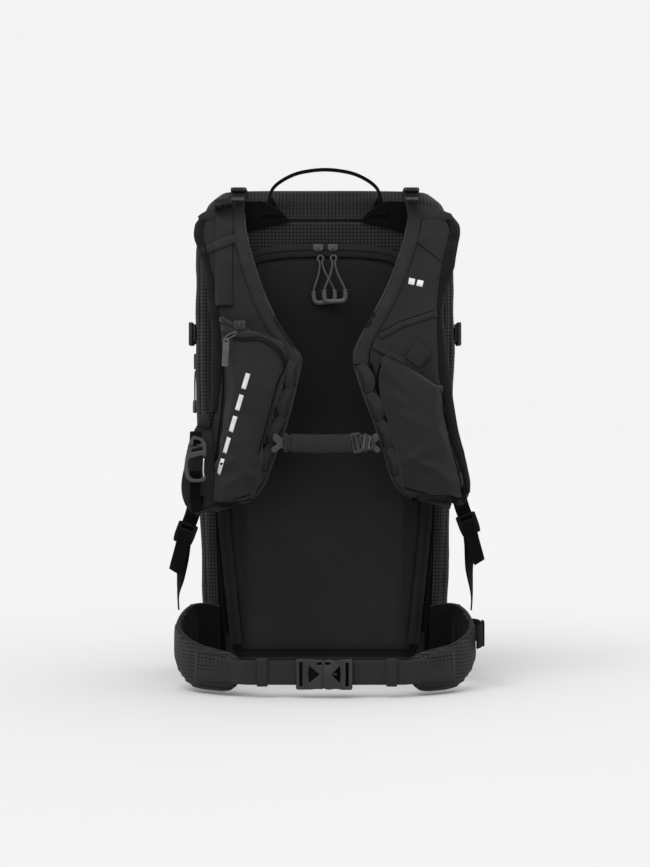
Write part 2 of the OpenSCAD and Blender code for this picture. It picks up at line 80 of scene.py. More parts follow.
def spread(node, points):
    """Turns (across, up) shares of a node's box, seen from the front, into (x, z) in metres."""
    low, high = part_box(node)
    return [(low[0] + u * (high[0] - low[0]), low[2] + v * (high[2] - low[2])) for u, v in points]


def smooth(points, steps):
    """A Catmull-Rom curve through the points, with that many steps between neighbours."""
    p = np.array(points, float)
    last = len(p) - 1
    out = []
    for i in range(last):
        a, b, c, d = p[max(i - 1, 0)], p[i], p[i + 1], p[min(i + 2, last)]
        for k in range(steps):
            t = k / steps
            out.append(0.5 * (2 * b + (c - a) * t + (2 * a - 5 * b + 4 * c - d) * t * t
                              + (3 * b - a - 3 * c + d) * t ** 3))
    out.append(p[-1])
    return np.array(out)


def run_along(points):
    """The distance along a polyline at each of its points."""
    return np.concatenate([[0], np.cumsum(np.linalg.norm(np.diff(points, axis=0), axis=1))])


def even(points, count):
    """The same polyline with evenly spaced points."""
    p = np.array(points, float)
    run = run_along(p)
    at = np.linspace(0, run[-1], count)
    return np.stack([np.interp(at, run, p[:, i]) for i in range(p.shape[1])], axis=1)


def relax(points, passes=4):
    """Takes small kinks out of an open polyline."""
    p = np.array([list(q) for q in points], float)
    for _ in range(passes):
        p[1:-1] = (p[:-2] + 2 * p[1:-1] + p[2:]) / 4
    return p


def soft_line(points, steps, count, passes):
    """A smooth line of evenly spaced points through the given ones."""
    return relax(even(smooth(points, steps), count), passes)


def rounded(points, radius, steps=5):
    """A polygon with its corners rounded by quadratic curves."""
    p = [np.array(q, float) for q in points]
    out = []
    for i, b in enumerate(p):
        a, c = p[i - 1], p[(i + 1) % len(p)]
        ra = min(radius, np.linalg.norm(a - b) / 2.05)
        rc = min(radius, np.linalg.norm(c - b) / 2.05)
        s = b + (a - b) / np.linalg.norm(a - b) * ra
        e = b + (c - b) / np.linalg.norm(c - b) * rc
        for k in range(steps + 1):
            t = k / steps
            out.append((1 - t) ** 2 * s + 2 * t * (1 - t) * b + t * t * e)
    return out


def ripple(p, size, seed=0.0):
    """Soft noise from -1 to 1 with folds about size metres apart."""
    q = Vector(p) / size + Vector((seed, 2.3 * seed, 5.1 * seed))
    return noise.noise(q) * 0.65 + noise.noise(q * 2.1) * 0.25 + noise.noise(q * 4.3) * 0.1


def add_mesh(name, verts, faces, material, body, uvs=None):
    """A new piece that rides on a body. uvs gives one (u, v) in metres for each vertex."""
    mesh = bpy.data.meshes.new(name)
    mesh.from_pydata([tuple(v) for v in verts], [], faces)
    mesh.validate()
    if uvs is not None:
        layer = mesh.uv_layers.new(name="metres")
        for loop in mesh.loops:
            layer.data[loop.index].uv = uvs[loop.vertex_index]
    mesh.polygons.foreach_set("use_smooth", [True] * len(mesh.polygons))
    obj = bpy.data.objects.new(name, mesh)
    bpy.context.scene.collection.objects.link(obj)
    for one in material if isinstance(material, (list, tuple)) else [material]:
        mesh.materials.append(one)
    if body:
        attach(obj, body)
    return obj


def grid_faces(rows, cols, closed=False):
    """The faces of a grid of vertices, row by row. closed joins each row's end to its start."""
    wide = cols if closed else cols - 1
    return [(i * cols + j, i * cols + (j + 1) % cols, (i + 1) * cols + (j + 1) % cols, (i + 1) * cols + j)
            for i in range(rows - 1) for j in range(wide)]


def merged(name, parts, material, body):
    """One piece from several (verts, faces, uvs) parts."""
    verts, faces, uvs = [], [], []
    for v, f, w in parts:
        start = len(verts)
        verts += [tuple(q) for q in v]
        faces += [tuple(start + i for i in face) for face in f]
        uvs += list(w) if w is not None else [(0.0, 0.0)] * len(v)
    return add_mesh(name, verts, faces, material, body, uvs)


def bevel(obj, width):
    mod = obj.modifiers.new("soft edges", "BEVEL")
    mod.width = width
    mod.segments = 2
    mod.limit_method = "ANGLE"
    mod.angle_limit = math.radians(35)
    return obj


def subdivide(obj):
    mod = obj.modifiers.new("smooth", "SUBSURF")
    mod.levels = 1
    mod.render_levels = 1
    return obj


def thicken(obj, thickness, offset=-1.0):
    """Gives a sheet its thickness. offset is 0 for both sides alike and -1 for behind it only."""
    mod = obj.modifiers.new("thickness", "SOLIDIFY")
    mod.thickness = thickness
    mod.offset = offset
    return obj


def tree_of(*objects):
    """A search tree over the final meshes of the objects."""
    graph = bpy.context.evaluated_depsgraph_get()
    verts, faces = [], []
    for obj in objects:
        mesh = obj.evaluated_get(graph).to_mesh()
        start = len(verts)
        verts += [obj.matrix_world @ v.co for v in mesh.vertices]
        faces += [[start + i for i in p.vertices] for p in mesh.polygons]
        obj.evaluated_get(graph).to_mesh_clear()
    return BVHTree.FromPolygons(verts, faces)


def node_tree(*nodes):
    return tree_of(*[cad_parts[n] for n in nodes])


def front_of(tree, x, z):
    """The first point and normal that a ray along +Y meets at x and z, or the nearest surface point."""
    hit, normal, _, _ = tree.ray_cast(Vector((x, -1.0, z)), Vector((0, 1, 0)))
    if hit is None:
        near, normal, _, _ = tree.find_nearest(Vector((x, -0.2, z)))
        hit = Vector((x, near.y, z))
    if normal.y > 0:
        normal = -normal
    return hit, normal


# ---------- sweeps ----------

def sweep(path, ups, outline, closed=False):
    """Verts, faces and uvs of an outline of (across, up) points carried along a path."""
    path = [Vector(p) for p in path]
    n, m = len(path), len(outline)
    verts, uvs = [], []
    run = 0.0
    ring = [0.0]
    for a, b in zip(outline, outline[1:] + outline[:1]):
        ring.append(ring[-1] + math.dist(a, b))
    for i, p in enumerate(path):
        after = path[(i + 1) % n] if closed else path[min(i + 1, n - 1)]
        before = path[i - 1] if closed else path[max(i - 1, 0)]
        along = (after - before).normalized()
        up = Vector(ups[i] if len(ups) > 1 else ups[0])
        up = (up - along * up.dot(along)).normalized()
        across = along.cross(up)
        if i:
            run += (p - path[i - 1]).length
        for j, (a, u) in enumerate(outline):
            verts.append(p + across * a + up * u)
            uvs.append((run, ring[j]))
    faces = []
    for i in range(n if closed else n - 1):
        for j in range(m):
            k = (i + 1) % n
            faces.append((i * m + j, i * m + (j + 1) % m, k * m + (j + 1) % m, k * m + j))
    if not closed:
        faces.append(tuple(range(m - 1, -1, -1)))
        faces.append(tuple((n - 1) * m + j for j in range(m)))
    return verts, faces, uvs


def round_outline(radius, sides=10):
    return [(radius * math.cos(2 * math.pi * k / sides), radius * math.sin(2 * math.pi * k / sides))
            for k in range(sides)]


def strap_outline(width, thick, ribs=0):
    """A webbing section: flat with rounded edges, and lengthwise ribs on its top if asked."""
    half, h = width / 2, thick / 2
    low = [(-half, 0), (-half + h, -h), (half - h, -h), (half, 0)]
    top = [(half - h, h)]
    for k in range(1, ribs * 2):
        x = (half - h) * (1 - k / ribs)
        top.append((x, h + (0.25 * h if k % 2 == 0 else -0.2 * h)))
    top.append((-half + h, h))
    return low + top


def tube_along(name, points, radius, material, body, steps=6, sides=10):
    path = smooth(points, steps)
    ups = steady_ups(path)
    return merged(name, [sweep(path, ups, round_outline(radius, sides))], material, body)


def steady_ups(path):
    """Up directions that turn as little as they can along a path."""
    ups = []
    up = Vector((0.3, -1, 0.2))
    for i in range(len(path)):
        along = Vector(path[min(i + 1, len(path) - 1)]) - Vector(path[max(i - 1, 0)])
        along.normalize()
        up = (up - along * up.dot(along)).normalized()
        ups.append(up.copy())
    return ups


def laid(tree, points, lift):
    """(x, z) points laid on a surface seen from the front: the lifted path and its normals."""
    path, ups = [], []
    for x, z in points:
        hit, normal = front_of(tree, x, z)
        path.append(hit + normal * lift)
        ups.append(normal)
    path = [Vector(p) for p in relax(path)]
    ups = [Vector(u).normalized() for u in relax(ups, 6)]
    return path, ups


def stitches(path, ups):
    """A row of short thread stitches along a path."""
    pitch, length, radius = 3.2 * MM, 2.1 * MM, 0.28 * MM
    pts = np.array([list(p) for p in path])
    run = run_along(pts)
    parts = []
    for k in range(int(run[-1] / pitch)):
        ends = []
        for s in (k * pitch, k * pitch + length):
            ends.append(Vector([np.interp(s, run, pts[:, i]) for i in range(3)]))
        i = min(int(np.searchsorted(run, k * pitch)), len(ups) - 1)
        parts.append(sweep(ends, [ups[i]], round_outline(radius, 4)))
    return parts


# ---------- materials ----------

def linear(hex_colour):
    """A hex colour as linear red, green, blue and alpha."""
    parts = [int(hex_colour[i:i + 2], 16) / 255 for i in (1, 3, 5)]
    return [c / 12.92 if c <= 0.04045 else ((c + 0.055) / 1.055) ** 2.4 for c in parts] + [1.0]


class Paint:
    """A Principled material that is built up from patterns."""

    def __init__(self, name, colour, rough, metal=0.0, specular=0.25, sheen=0.0):
        self.material = bpy.data.materials.new(name)
        self.material.use_nodes = True
        self.tree = self.material.node_tree
        self.shader = self.tree.nodes["Principled BSDF"]
        self.base = linear(colour)
        self.shader.inputs["Base Color"].default_value = self.base
        self.shader.inputs["Roughness"].default_value = rough
        self.shader.inputs["Metallic"].default_value = metal
        self.shader.inputs["Specular IOR Level"].default_value = specular
        self.shader.inputs["Sheen Weight"].default_value = sheen
        self.shader.inputs["Sheen Roughness"].default_value = 0.5
        self.colour = None
        self.normal = None

    def node(self, kind, settings=None, **inputs):
        made = self.tree.nodes.new(kind)
        for key, value in (settings or {}).items():
            setattr(made, key, value)
        for key, value in inputs.items():
            made.inputs[key.replace("_", " ")].default_value = value
        return made

    def link(self, start, end):
        self.tree.links.new(start, end)

    def place(self, uv, scale):
        """Texture coordinates in metres, multiplied by scale."""
        where = self.node("ShaderNodeTexCoord")
        mapping = self.node("ShaderNodeMapping", Scale=scale)
        self.link(where.outputs["UV" if uv else "Object"], mapping.inputs["Vector"])
        return mapping.outputs["Vector"]

    def blend(self, mask, colour):
        """Mixes a second colour over what is there, where mask is 1."""
        mix = self.node("ShaderNodeMix", {"data_type": "RGBA"})
        self.link(mask, mix.inputs[0])
        if self.colour is None:
            mix.inputs[6].default_value = self.base
        else:
            self.link(self.colour, mix.inputs[6])
        mix.inputs[7].default_value = linear(colour)
        self.colour = mix.outputs[2]
        self.link(self.colour, self.shader.inputs["Base Color"])

    def raise_by(self, height, distance):
        """Adds a bump of that height in metres."""
        bump = self.node("ShaderNodeBump", Distance=distance, Strength=1.0)
        self.link(height, bump.inputs["Height"])
        if self.normal is not None:
            self.link(self.normal, bump.inputs["Normal"])
        self.normal = bump.outputs["Normal"]
        self.link(self.normal, self.shader.inputs["Normal"])

    def spread_of(self, output, low, high):
        """Stretches low..high of a value to 0..1."""
        ramp = self.node("ShaderNodeMapRange", From_Min=low, From_Max=high)
        self.link(output, ramp.inputs["Value"])
        return ramp.outputs["Result"]

    def fade(self, axis, low, high, colour):
        """Turns to a second colour between two distances from the origin along an axis, both ways."""
        split = self.node("ShaderNodeSeparateXYZ")
        self.link(self.place(False, [1, 1, 1]), split.inputs["Vector"])
        reach = self.node("ShaderNodeMath", {"operation": "ABSOLUTE"})
        self.link(split.outputs[axis], reach.inputs[0])
        self.blend(self.spread_of(reach.outputs[0], low, high), colour)
        return self

    def mottle(self, size, colour, low=0.45, high=0.75):
        """Soft patches about size metres across in a second colour, as in handled cloth."""
        tex = self.node("ShaderNodeTexNoise", Scale=1.0, Detail=5.0, Roughness=0.6)
        self.link(self.place(False, [1 / size] * 3), tex.inputs["Vector"])
        self.blend(self.spread_of(tex.outputs["Fac"], low, high), colour)
        return self

    def grain(self, size, height):
        """Fine bumps without a direction."""
        tex = self.node("ShaderNodeTexNoise", Scale=1.0, Detail=3.0)
        self.link(self.place(False, [1 / size] * 3), tex.inputs["Vector"])
        self.raise_by(tex.outputs["Fac"], height)
        return self

    def threads(self, pitch, height, uv, colour=None, both=True):
        """Threads across each other, pitch metres apart."""
        for axis in ("X", "Y") if both and uv else ("X", "Z") if both else ("X",):
            wave = self.node("ShaderNodeTexWave", {"wave_type": "BANDS", "bands_direction": axis},
                             Scale=0.3142 / 2, Distortion=0.6, Detail=1.0)
            self.link(self.place(uv, [2 / pitch] * 3), wave.inputs["Vector"])
            self.raise_by(wave.outputs["Fac"], height)
            if colour:
                self.blend(self.spread_of(wave.outputs["Fac"], 0.55, 1.0), colour)
        return self

    def ripstop(self, pitch, line, colour):
        """The darker square grid of a ripstop cloth."""
        grid = self.node("ShaderNodeTexBrick", {"offset": 0.0, "squash": 1.0}, Scale=1.0,
                         Mortar_Size=line / pitch / 2, Mortar_Smooth=0.6, Brick_Width=1.0, Row_Height=1.0)
        self.link(self.place(True, [1 / pitch] * 3), grid.inputs["Vector"])
        self.blend(grid.outputs["Fac"], colour)
        self.raise_by(grid.outputs["Fac"], -0.25 * MM)
        return self

    def scuffs(self, colour):
        """Lighter worn patches on edges and high spots."""
        shape = self.node("ShaderNodeNewGeometry")
        tex = self.node("ShaderNodeTexNoise", Scale=120.0, Detail=6.0)
        worn = self.node("ShaderNodeMath", {"operation": "MULTIPLY"})
        self.link(self.spread_of(shape.outputs["Pointiness"], 0.52, 0.62), worn.inputs[0])
        self.link(self.spread_of(tex.outputs["Fac"], 0.47, 0.72), worn.inputs[1])
        self.blend(worn.outputs[0], colour)
        return self


def ripstop_cloth():
    p = Paint("ripstop cloth", "#29292b", 0.85, specular=0.08, sheen=0.08)
    p.mottle(0.05, "#2a2a2c").threads(0.9 * MM, 0.06 * MM, True)
    return p.ripstop(3.9 * MM, 1.5 * MM, "#0b0b0c").material


def strap_cloth():
    p = Paint("strap cloth", "#1e1e20", 0.82, specular=0.10, sheen=0.07)
    p.mottle(0.06, "#242426").threads(0.8 * MM, 0.05 * MM, False)
    return p.grain(3 * MM, 0.05 * MM).material


def pocket_cloth():
    p = Paint("pocket cloth", "#1f1f21", 0.80, specular=0.10, sheen=0.07)
    return p.mottle(0.05, "#252527").threads(0.8 * MM, 0.05 * MM, True).material


def dark_cloth():
    p = Paint("black cloth", "#070707", 0.9, specular=0.04, sheen=0.02)
    return p.mottle(0.04, "#0b0b0b").threads(0.9 * MM, 0.06 * MM, False).material


def back_cloth():
    p = Paint("back panel cloth", "#1a1a1b", 0.8, specular=0.10, sheen=0.06)
    p.mottle(0.09, "#1f1f20").fade("X", 0.083, 0.088, "#141415")
    # Painted shadow of the straps: darker from 0.17 m up, darkest between 0.30 m and 0.39 m, and lighter again
    # by 0.47 m.
    p.fade("Z", 0.17, 0.30, "#0e0e0f").fade("Z", 0.39, 0.47, "#18181a")
    return p.grain(0.9 * MM, 0.05 * MM).material


def webbing_cloth(name, colour, thread, specular):
    p = Paint(name, colour, 0.72, specular=specular, sheen=0.03)
    p.threads(1.5 * MM, 0.2 * MM, True, thread, both=False)
    return p.threads(0.9 * MM, 0.1 * MM, True).material


def elastic_cloth():
    p = Paint("elastic sleeve", "#1f1f21", 0.8, specular=0.12, sheen=0.06)
    return p.threads(1.9 * MM, 0.3 * MM, True, "#2a2a2c", both=False).material


def thread_yarn():
    return Paint("stitching thread", "#232325", 0.6, specular=0.2).grain(0.3 * MM, 0.04 * MM).material


def zip_plastic():
    p = Paint("zip coil", "#080809", 0.5, specular=0.12)
    return p.threads(1.1 * MM, 0.25 * MM, True, both=False).material


def moulded(name, colour, worn, rough=0.5, specular=0.35):
    p = Paint(name, colour, rough, specular=specular)
    return p.mottle(0.02, worn, 0.5, 0.9).grain(0.5 * MM, 0.03 * MM).scuffs(worn).material


def cord_sheath(name, colour, thread):
    p = Paint(name, colour, 0.7, specular=0.2)
    return p.threads(0.8 * MM, 0.12 * MM, True, thread).material


def bright_metal(name, colour, rough):
    p = Paint(name, colour, rough, metal=1.0, specular=0.5)
    return p.mottle(0.01, "#8e9093", 0.5, 0.9).grain(0.4 * MM, 0.01 * MM).material


def balloon_nylon():
    p = Paint("airbag nylon", "#d8551c", 0.6, specular=0.3, sheen=0.15)
    return p.mottle(0.03, "#c04512").threads(0.6 * MM, 0.04 * MM, False).grain(6 * MM, 0.3 * MM).material


def print_ink():
    p = Paint("reflective print", "#c9c9ca", 0.5, specular=0.4)
    return p.mottle(0.01, "#b4b4b6").grain(0.5 * MM, 0.02 * MM).material


RIPSTOP = ripstop_cloth()
STRAP = strap_cloth()
POCKET = pocket_cloth()
BLACK = dark_cloth()
BACK = back_cloth()
WEBBING = webbing_cloth("black webbing", "#040404", "#090909", 0.04)
GREY_WEB = webbing_cloth("grey webbing", "#1d1d1e", "#2a2a2c", 0.15)
ELASTIC = elastic_cloth()
THREAD = thread_yarn()
ZIP = zip_plastic()
BINDING = webbing_cloth("binding tape", "#101011", "#171718", 0.06)
INNER = moulded("dark plastic", "#050505", "#0c0c0d", 0.6, 0.09)
BUCKLE = moulded("buckle plastic", "#1a1a1b", "#303033", 0.45)
HOOK = moulded("hook plastic", "#2c2d2f", "#414246", 0.45)
TUBE = moulded("cord tube plastic", "#3b3c3e", "#4c4d50", 0.5)
TAB = moulded("pull tab", "#454648", "#525355", 0.6)
SHEATH = cord_sheath("cord sheath", "#101011", "#202022")
CORD = cord_sheath("pull cord", "#38393b", "#4c4d50")
WIRE = bright_metal("gate wire", "#c9cbce", 0.28)
ROD = bright_metal("aluminium", "#b4b6b9", 0.4)
BALLOON = balloon_nylon()
RED = moulded("red plastic", "#a8241c", "#bb4a42", 0.4)
RUBBER = moulded("duct rubber", "#141415", "#232325", 0.7)
CELLS = moulded("cell wrap", "#33456f", "#475a88", 0.35)
SHEET = moulded("frame sheet plastic", "#c4c4c0", "#d2d2ce", 0.5)
INK = print_ink()


def repaint(node, material):
    """Gives a CAD node that stays in view its real material."""
    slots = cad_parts[node].data.materials
    if not len(slots):
        slots.append(material)
    for i in range(len(slots)):
        slots[i] = material


# ---------- padded pieces by cloth simulation ----------

def copy_of(node):
    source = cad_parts[node]
    obj = bpy.data.objects.new("sim_" + node, source.data.copy())
    obj.matrix_world = source.matrix_world
    bpy.context.scene.collection.objects.link(obj)
    return obj


def evaluated_mesh(obj):
    graph = bpy.context.evaluated_depsgraph_get()
    graph.update()
    return bpy.data.meshes.new_from_object(obj.evaluated_get(graph))


def mesh_points(mesh):
    flat = np.empty(len(mesh.vertices) * 3)
    mesh.vertices.foreach_get("co", flat)
    return flat.reshape(-1, 3)


def mesh_normals(mesh):
    flat = np.empty(len(mesh.vertices) * 3)
    mesh.vertices.foreach_get("normal", flat)
    return flat.reshape(-1, 3)


def set_points(mesh, points):
    mesh.vertices.foreach_set("co", np.asarray(points, float).ravel())
    mesh.update()


def padded(name, source, body, material, nodes, voxel=4 * MM, pressure=4.0, cap=6 * MM, shrink=1.5 * MM,
           shape=None, wrap=None, pick=None):
    """A stuffed piece: the source is remeshed, drawn in, then blown up by cloth simulation.

    shape(point, normal) moves each point afterwards, wrap(point) gives its (u, v) in metres, and
    pick(centre) the number of a face's material.
    """
    scene = bpy.context.scene
    remesh = source.modifiers.new("remesh", "REMESH")
    remesh.mode = "VOXEL"
    remesh.voxel_size = voxel
    smoother = source.modifiers.new("soften", "SMOOTH")
    smoother.factor = 0.5
    smoother.iterations = 4
    mesh = evaluated_mesh(source)
    mesh.transform(source.matrix_world)
    bpy.data.objects.remove(source)
    points = mesh_points(mesh) - mesh_normals(mesh) * shrink
    set_points(mesh, points)
    obj = bpy.data.objects.new(name, mesh)
    scene.collection.objects.link(obj)
    if pressure:
        cloth = obj.modifiers.new("cloth", "CLOTH")
        cloth.settings.use_pressure = True
        cloth.settings.uniform_pressure_force = pressure
        cloth.settings.effector_weights.gravity = 0.0
        cloth.settings.quality = 4
        for step in range(1, 21):
            scene.frame_set(step)
        moved = mesh_points(evaluated_mesh(obj)) - points
        obj.modifiers.remove(cloth)
        scene.frame_set(1)
        length = np.linalg.norm(moved, axis=1, keepdims=True)
        points = points + moved * np.minimum(1.0, cap / np.maximum(length, 1e-9))
        set_points(mesh, points)
    if shape is not None:
        normals = mesh_normals(mesh)
        points = np.array([shape(p, n) for p, n in zip(points, normals)])
        set_points(mesh, points)
    if wrap is not None:
        layer = mesh.uv_layers.new(name="metres")
        places = [wrap(p) for p in points]
        for loop in mesh.loops:
            layer.data[loop.index].uv = places[loop.vertex_index]
    mesh.materials.clear()
    for one in material if isinstance(material, (list, tuple)) else [material]:
        mesh.materials.append(one)
    if pick is not None:
        mesh.polygons.foreach_set("material_index", [pick(face.center) for face in mesh.polygons])
    mesh.polygons.foreach_set("use_smooth", [True] * len(mesh.polygons))
    subdivide(obj)
    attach(obj, body)
    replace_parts(obj, *nodes)
    return obj


# ---------- pieces laid on a surface seen from the front ----------

def draped(name, tree, left, right, cols, lift, material, body, thick=0.8 * MM):
    """A sheet between two rows of (x, z) points, laid on a surface. lift(u, v, run) raises it."""
    rows = len(left)
    verts, uvs = [], []
    run = 0.0
    middle = [((a[0] + b[0]) / 2, (a[1] + b[1]) / 2) for a, b in zip(left, right)]
    for i, (a, b) in enumerate(zip(left, right)):
        if i:
            run += math.dist(middle[i], middle[i - 1])
        width = math.dist(a, b)
        for j in range(cols):
            u = j / (cols - 1)
            x, z = a[0] + (b[0] - a[0]) * u, a[1] + (b[1] - a[1]) * u
            hit, normal = front_of(tree, x, z)
            push = (normal + FRONT).normalized()
            verts.append(hit + push * lift(u, i / (rows - 1), run))
            uvs.append((run, width * u))
    return thicken(add_mesh(name, verts, grid_faces(rows, cols), material, body, uvs), thick, 0.0)


def strip_edges(path, width):
    """The two edges of a strip of that width along an (x, z) path."""
    p = np.array(path, float)
    along = np.gradient(p, axis=0)
    along /= np.maximum(np.linalg.norm(along, axis=1, keepdims=True), 1e-9)
    side = np.stack([-along[:, 1], along[:, 0]], axis=1) * width / 2
    return p - side, p + side


def laid_strip(name, tree, path, width, lift, material, body, cols=7, thick=0.8 * MM):
    left, right = strip_edges(path, width)
    height = lift if callable(lift) else (lambda u, v, run: lift)
    return draped(name, tree, left, right, cols, height, material, body, thick)


def laid_cord(tree, path, radius, lift):
    points, ups = laid(tree, path, lift)
    return sweep(points, ups, round_outline(radius, 8))


def laid_stitches(tree, path, lift):
    points, ups = laid(tree, path, lift)
    return stitches(points, ups)


def side_edges(tree, box, levels, step=1.0 * MM):
    """(z, lowest x, highest x) of what a ray along +Y meets at each height."""
    found = []
    for z in levels:
        hits = [x for x in np.arange(box[0][0], box[1][0], step)
                if tree.ray_cast(Vector((x, -1.0, z)), Vector((0, 1, 0)))[0] is not None]
        if hits:
            found.append((z, hits[0], hits[-1]))
    return found


# ---------- plates cut from a flat outline ----------

def cut_plate(name, outer, holes, y_front, y_back, material, body, edge=0.5 * MM, turn=None):
    """A plate with holes, drawn in (x, z) and as deep as from y_front to y_back, with soft edges.

    turn is a matrix that then moves the plate to another place.
    """
    curve = bpy.data.curves.new(name, "CURVE")
    curve.dimensions = "2D"
    curve.fill_mode = "BOTH"
    curve.extrude = (y_back - y_front) / 2 - edge
    curve.bevel_depth = edge
    curve.bevel_resolution = 2
    curve.offset = -edge
    for ring in [outer] + list(holes):
        spline = curve.splines.new("POLY")
        spline.points.add(len(ring) - 1)
        for point, (x, z) in zip(spline.points, ring):
            point.co = (x, z, 0, 1)
        spline.use_cyclic_u = True
    flat = bpy.data.objects.new(name + "_outline", curve)
    bpy.context.scene.collection.objects.link(flat)
    mesh = evaluated_mesh(flat)
    bpy.data.objects.remove(flat)
    mesh.transform(Matrix.Translation((0, (y_front + y_back) / 2, 0)) @ Matrix.Rotation(math.pi / 2, 4, "X"))
    if turn is not None:
        mesh.transform(turn)
    mesh.materials.clear()
    mesh.materials.append(material)
    obj = bpy.data.objects.new(name, mesh)
    bpy.context.scene.collection.objects.link(obj)
    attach(obj, body)
    return obj


def box_ring(x0, z0, x1, z1, radius):
    return rounded([(x0, z0), (x1, z0), (x1, z1), (x0, z1)], radius)


def joined(name, objects, body):
    """Joins finished pieces into one piece."""
    for obj in objects:
        obj.data = evaluated_mesh(obj)
        obj.modifiers.clear()
    first = objects[0]
    with bpy.context.temp_override(active_object=first, object=first, selected_objects=objects,
                                   selected_editable_objects=objects):
        bpy.ops.object.join()
    first.name = name
    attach(first, body)
    return first


# ---------- camera, light and floor ----------

def soft_sun(name, azimuth, elevation, angle, strength):
    """An even light from that side and height, soft as from a large window."""
    data = bpy.data.lights.new(name, "SUN")
    data.energy = strength
    data.angle = math.radians(angle)
    obj = bpy.data.objects.new(name, data)
    obj.rotation_euler = (math.radians(90 - elevation), 0, math.radians(azimuth))
    bpy.context.scene.collection.objects.link(obj)


def studio():
    """The camera, the light and the pale floor."""
    scene = bpy.context.scene
    scene.view_settings.view_transform = "Standard"
    distance = 2.4
    picture_height = 867
    across = 1.1 * MM * picture_height
    eye = bpy.data.cameras.new("camera")
    eye.sensor_width = 36
    eye.lens = 36 * distance / across
    camera = bpy.data.objects.new("camera", eye)
    camera.location = (0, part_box("back_panel")[0][1] - distance, 0.27)
    camera.rotation_euler = (math.pi / 2, 0, 0)
    scene.collection.objects.link(camera)
    scene.camera = camera
    world = bpy.data.worlds.new("studio")
    world.use_nodes = True
    world.node_tree.nodes["Background"].inputs["Color"].default_value = (0.9, 0.9, 0.9, 1)
    world.node_tree.nodes["Background"].inputs["Strength"].default_value = 1.0
    scene.world = world
    soft_sun("key", -25, 52, 50, 1.8)
    soft_sun("fill", 40, 20, 70, 0.45)
    soft_sun("rim", 160, 50, 50, 0.7)
    edge, low = 40.0, cad_box[0][2]
    corners = [(-edge, -edge, low), (edge, -edge, low), (edge, edge, low), (-edge, edge, low)]
    pale = Paint("pale floor", "#c8c8c8", 0.95, specular=0.0).mottle(0.9, "#c9c9c9")
    floor = add_mesh("floor", corners, [(0, 1, 2, 3)], pale.material, None)


studio()


# ---------- bag shell ----------

PANELS = ["back_wall", "side_panel_right", "front_panel", "side_panel_left"]
shell_tree = node_tree("base_panel", "top_panel", *PANELS)
BASE_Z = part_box("back_wall")[0][2]
SEAM_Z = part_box("back_wall")[1][2]
TOP_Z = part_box("top_panel")[1][2]
ACROSS = 40


def section(z):
    """Half width, back and front of the bag at height z."""
    z = min(max(z, 0.2 * MM), TOP_Z - 0.2 * MM)
    right = shell_tree.ray_cast(Vector((1, -0.035, z)), Vector((-1, 0, 0)))[0]
    back = shell_tree.ray_cast(Vector((0.003, -1, z)), Vector((0, 1, 0)))[0]
    front = shell_tree.ray_cast(Vector((0.003, 1, z)), Vector((0, -1, 0)))[0]
    return right.x, back.y, front.y


def bag_ring(z):
    """The bag's outline at height z: ACROSS points for each panel, from the back left corner's seam round."""
    w, b, f = section(z)
    rb = min(18 * MM, (f - b) / 2 - MM)
    rf = min(38 * MM, (f - b) / 2 - MM)
    points = []
    for x, y, r, start in ((-w + rb, b + rb, rb, 180), (w - rb, b + rb, rb, 270),
                           (w - rf, f - rf, rf, 0), (-w + rf, f - rf, rf, 90)):
        for k in range(11):
            a = math.radians(start + 9 * k)
            points.append((x + r * math.cos(a), y + r * math.sin(a)))
    points = points[5:] + points[:6]
    return [even(points[11 * i:11 * i + 12], ACROSS) for i in range(4)]


def seam_dip(u, v, height, panel):
    """How far the cloth is drawn in near a panel's sewn edges, in metres. The back corners have no seam."""
    first = u * 0.2 if panel > 1 else 1.0
    last = (1 - u) * 0.2 if panel in (1, 2) else 1.0
    edge = min(first, last, v * height, (1 - v) * height)
    return -2.0 * MM * math.exp(-edge / (7 * MM))


def back_paint(middle):
    """Ripstop round the door, black beside it, and the door's own cloth under it."""
    if abs(middle.x) > 121 * MM or middle.z > 0.46:
        return 0
    return 2 if abs(middle.x) < 100 * MM and middle.z < 0.06 else 1


def bag_panel(node, i, heights, bulge, crease, material):
    """One wall of the bag as a filled cloth panel that swells between its seams."""
    rows = [bag_ring(z)[i] for z in heights]
    verts, uvs = [], []
    for j, (z, row) in enumerate(zip(heights, rows)):
        v = j / (len(heights) - 1)
        tangent = np.gradient(row, axis=0)
        for k, (x, y) in enumerate(row):
            u = k / (ACROSS - 1)
            out = Vector((tangent[k][1], -tangent[k][0], 0)).normalized()
            push = bulge * (math.sin(math.pi * u) * math.sin(math.pi * v)) ** 0.6
            push += seam_dip(u, v, SEAM_Z, i) + crease * ripple((x, y, z * 1.6), 0.07, i)
            verts.append(Vector((x, y, z)) + out * push)
            uvs.append((u * (0.28 if i % 2 == 0 else 0.18), z))
    name = node.replace("panel", "cloth").replace("wall", "cloth")
    obj = add_mesh(name, verts, grid_faces(len(rows), ACROSS), material, "pack", uvs)
    thicken(obj, 2 * MM)
    if i == 0:
        obj.data.materials.append(BLACK)
        obj.data.materials.append(BACK)
        obj.data.polygons.foreach_set("material_index",
                                      [back_paint(face.center) for face in obj.data.polygons])
    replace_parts(obj, node)
    return obj


def closed_cloth(name, node, rings, material):
    """A dome or a base: whole outlines, closed in the middle."""
    count = len(rings[0])
    verts = [p for one in rings for p in one]
    faces = grid_faces(len(rings), count, closed=True)
    last = len(verts) - count
    middle = sum((Vector(p) for p in rings[-1]), Vector()) / count
    verts.append(middle)
    faces += [(last + k, last + (k + 1) % count, len(verts) - 1) for k in range(count)]
    obj = add_mesh(name, verts, faces, material, "pack", [(p[0], p[1] + p[2]) for p in verts])
    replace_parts(obj, node)
    return obj


def whole_ring(z):
    """The bag's whole outline at height z, without doubled corners."""
    return [Vector((x, y, z)) for side in bag_ring(z) for x, y in side[:-1]]


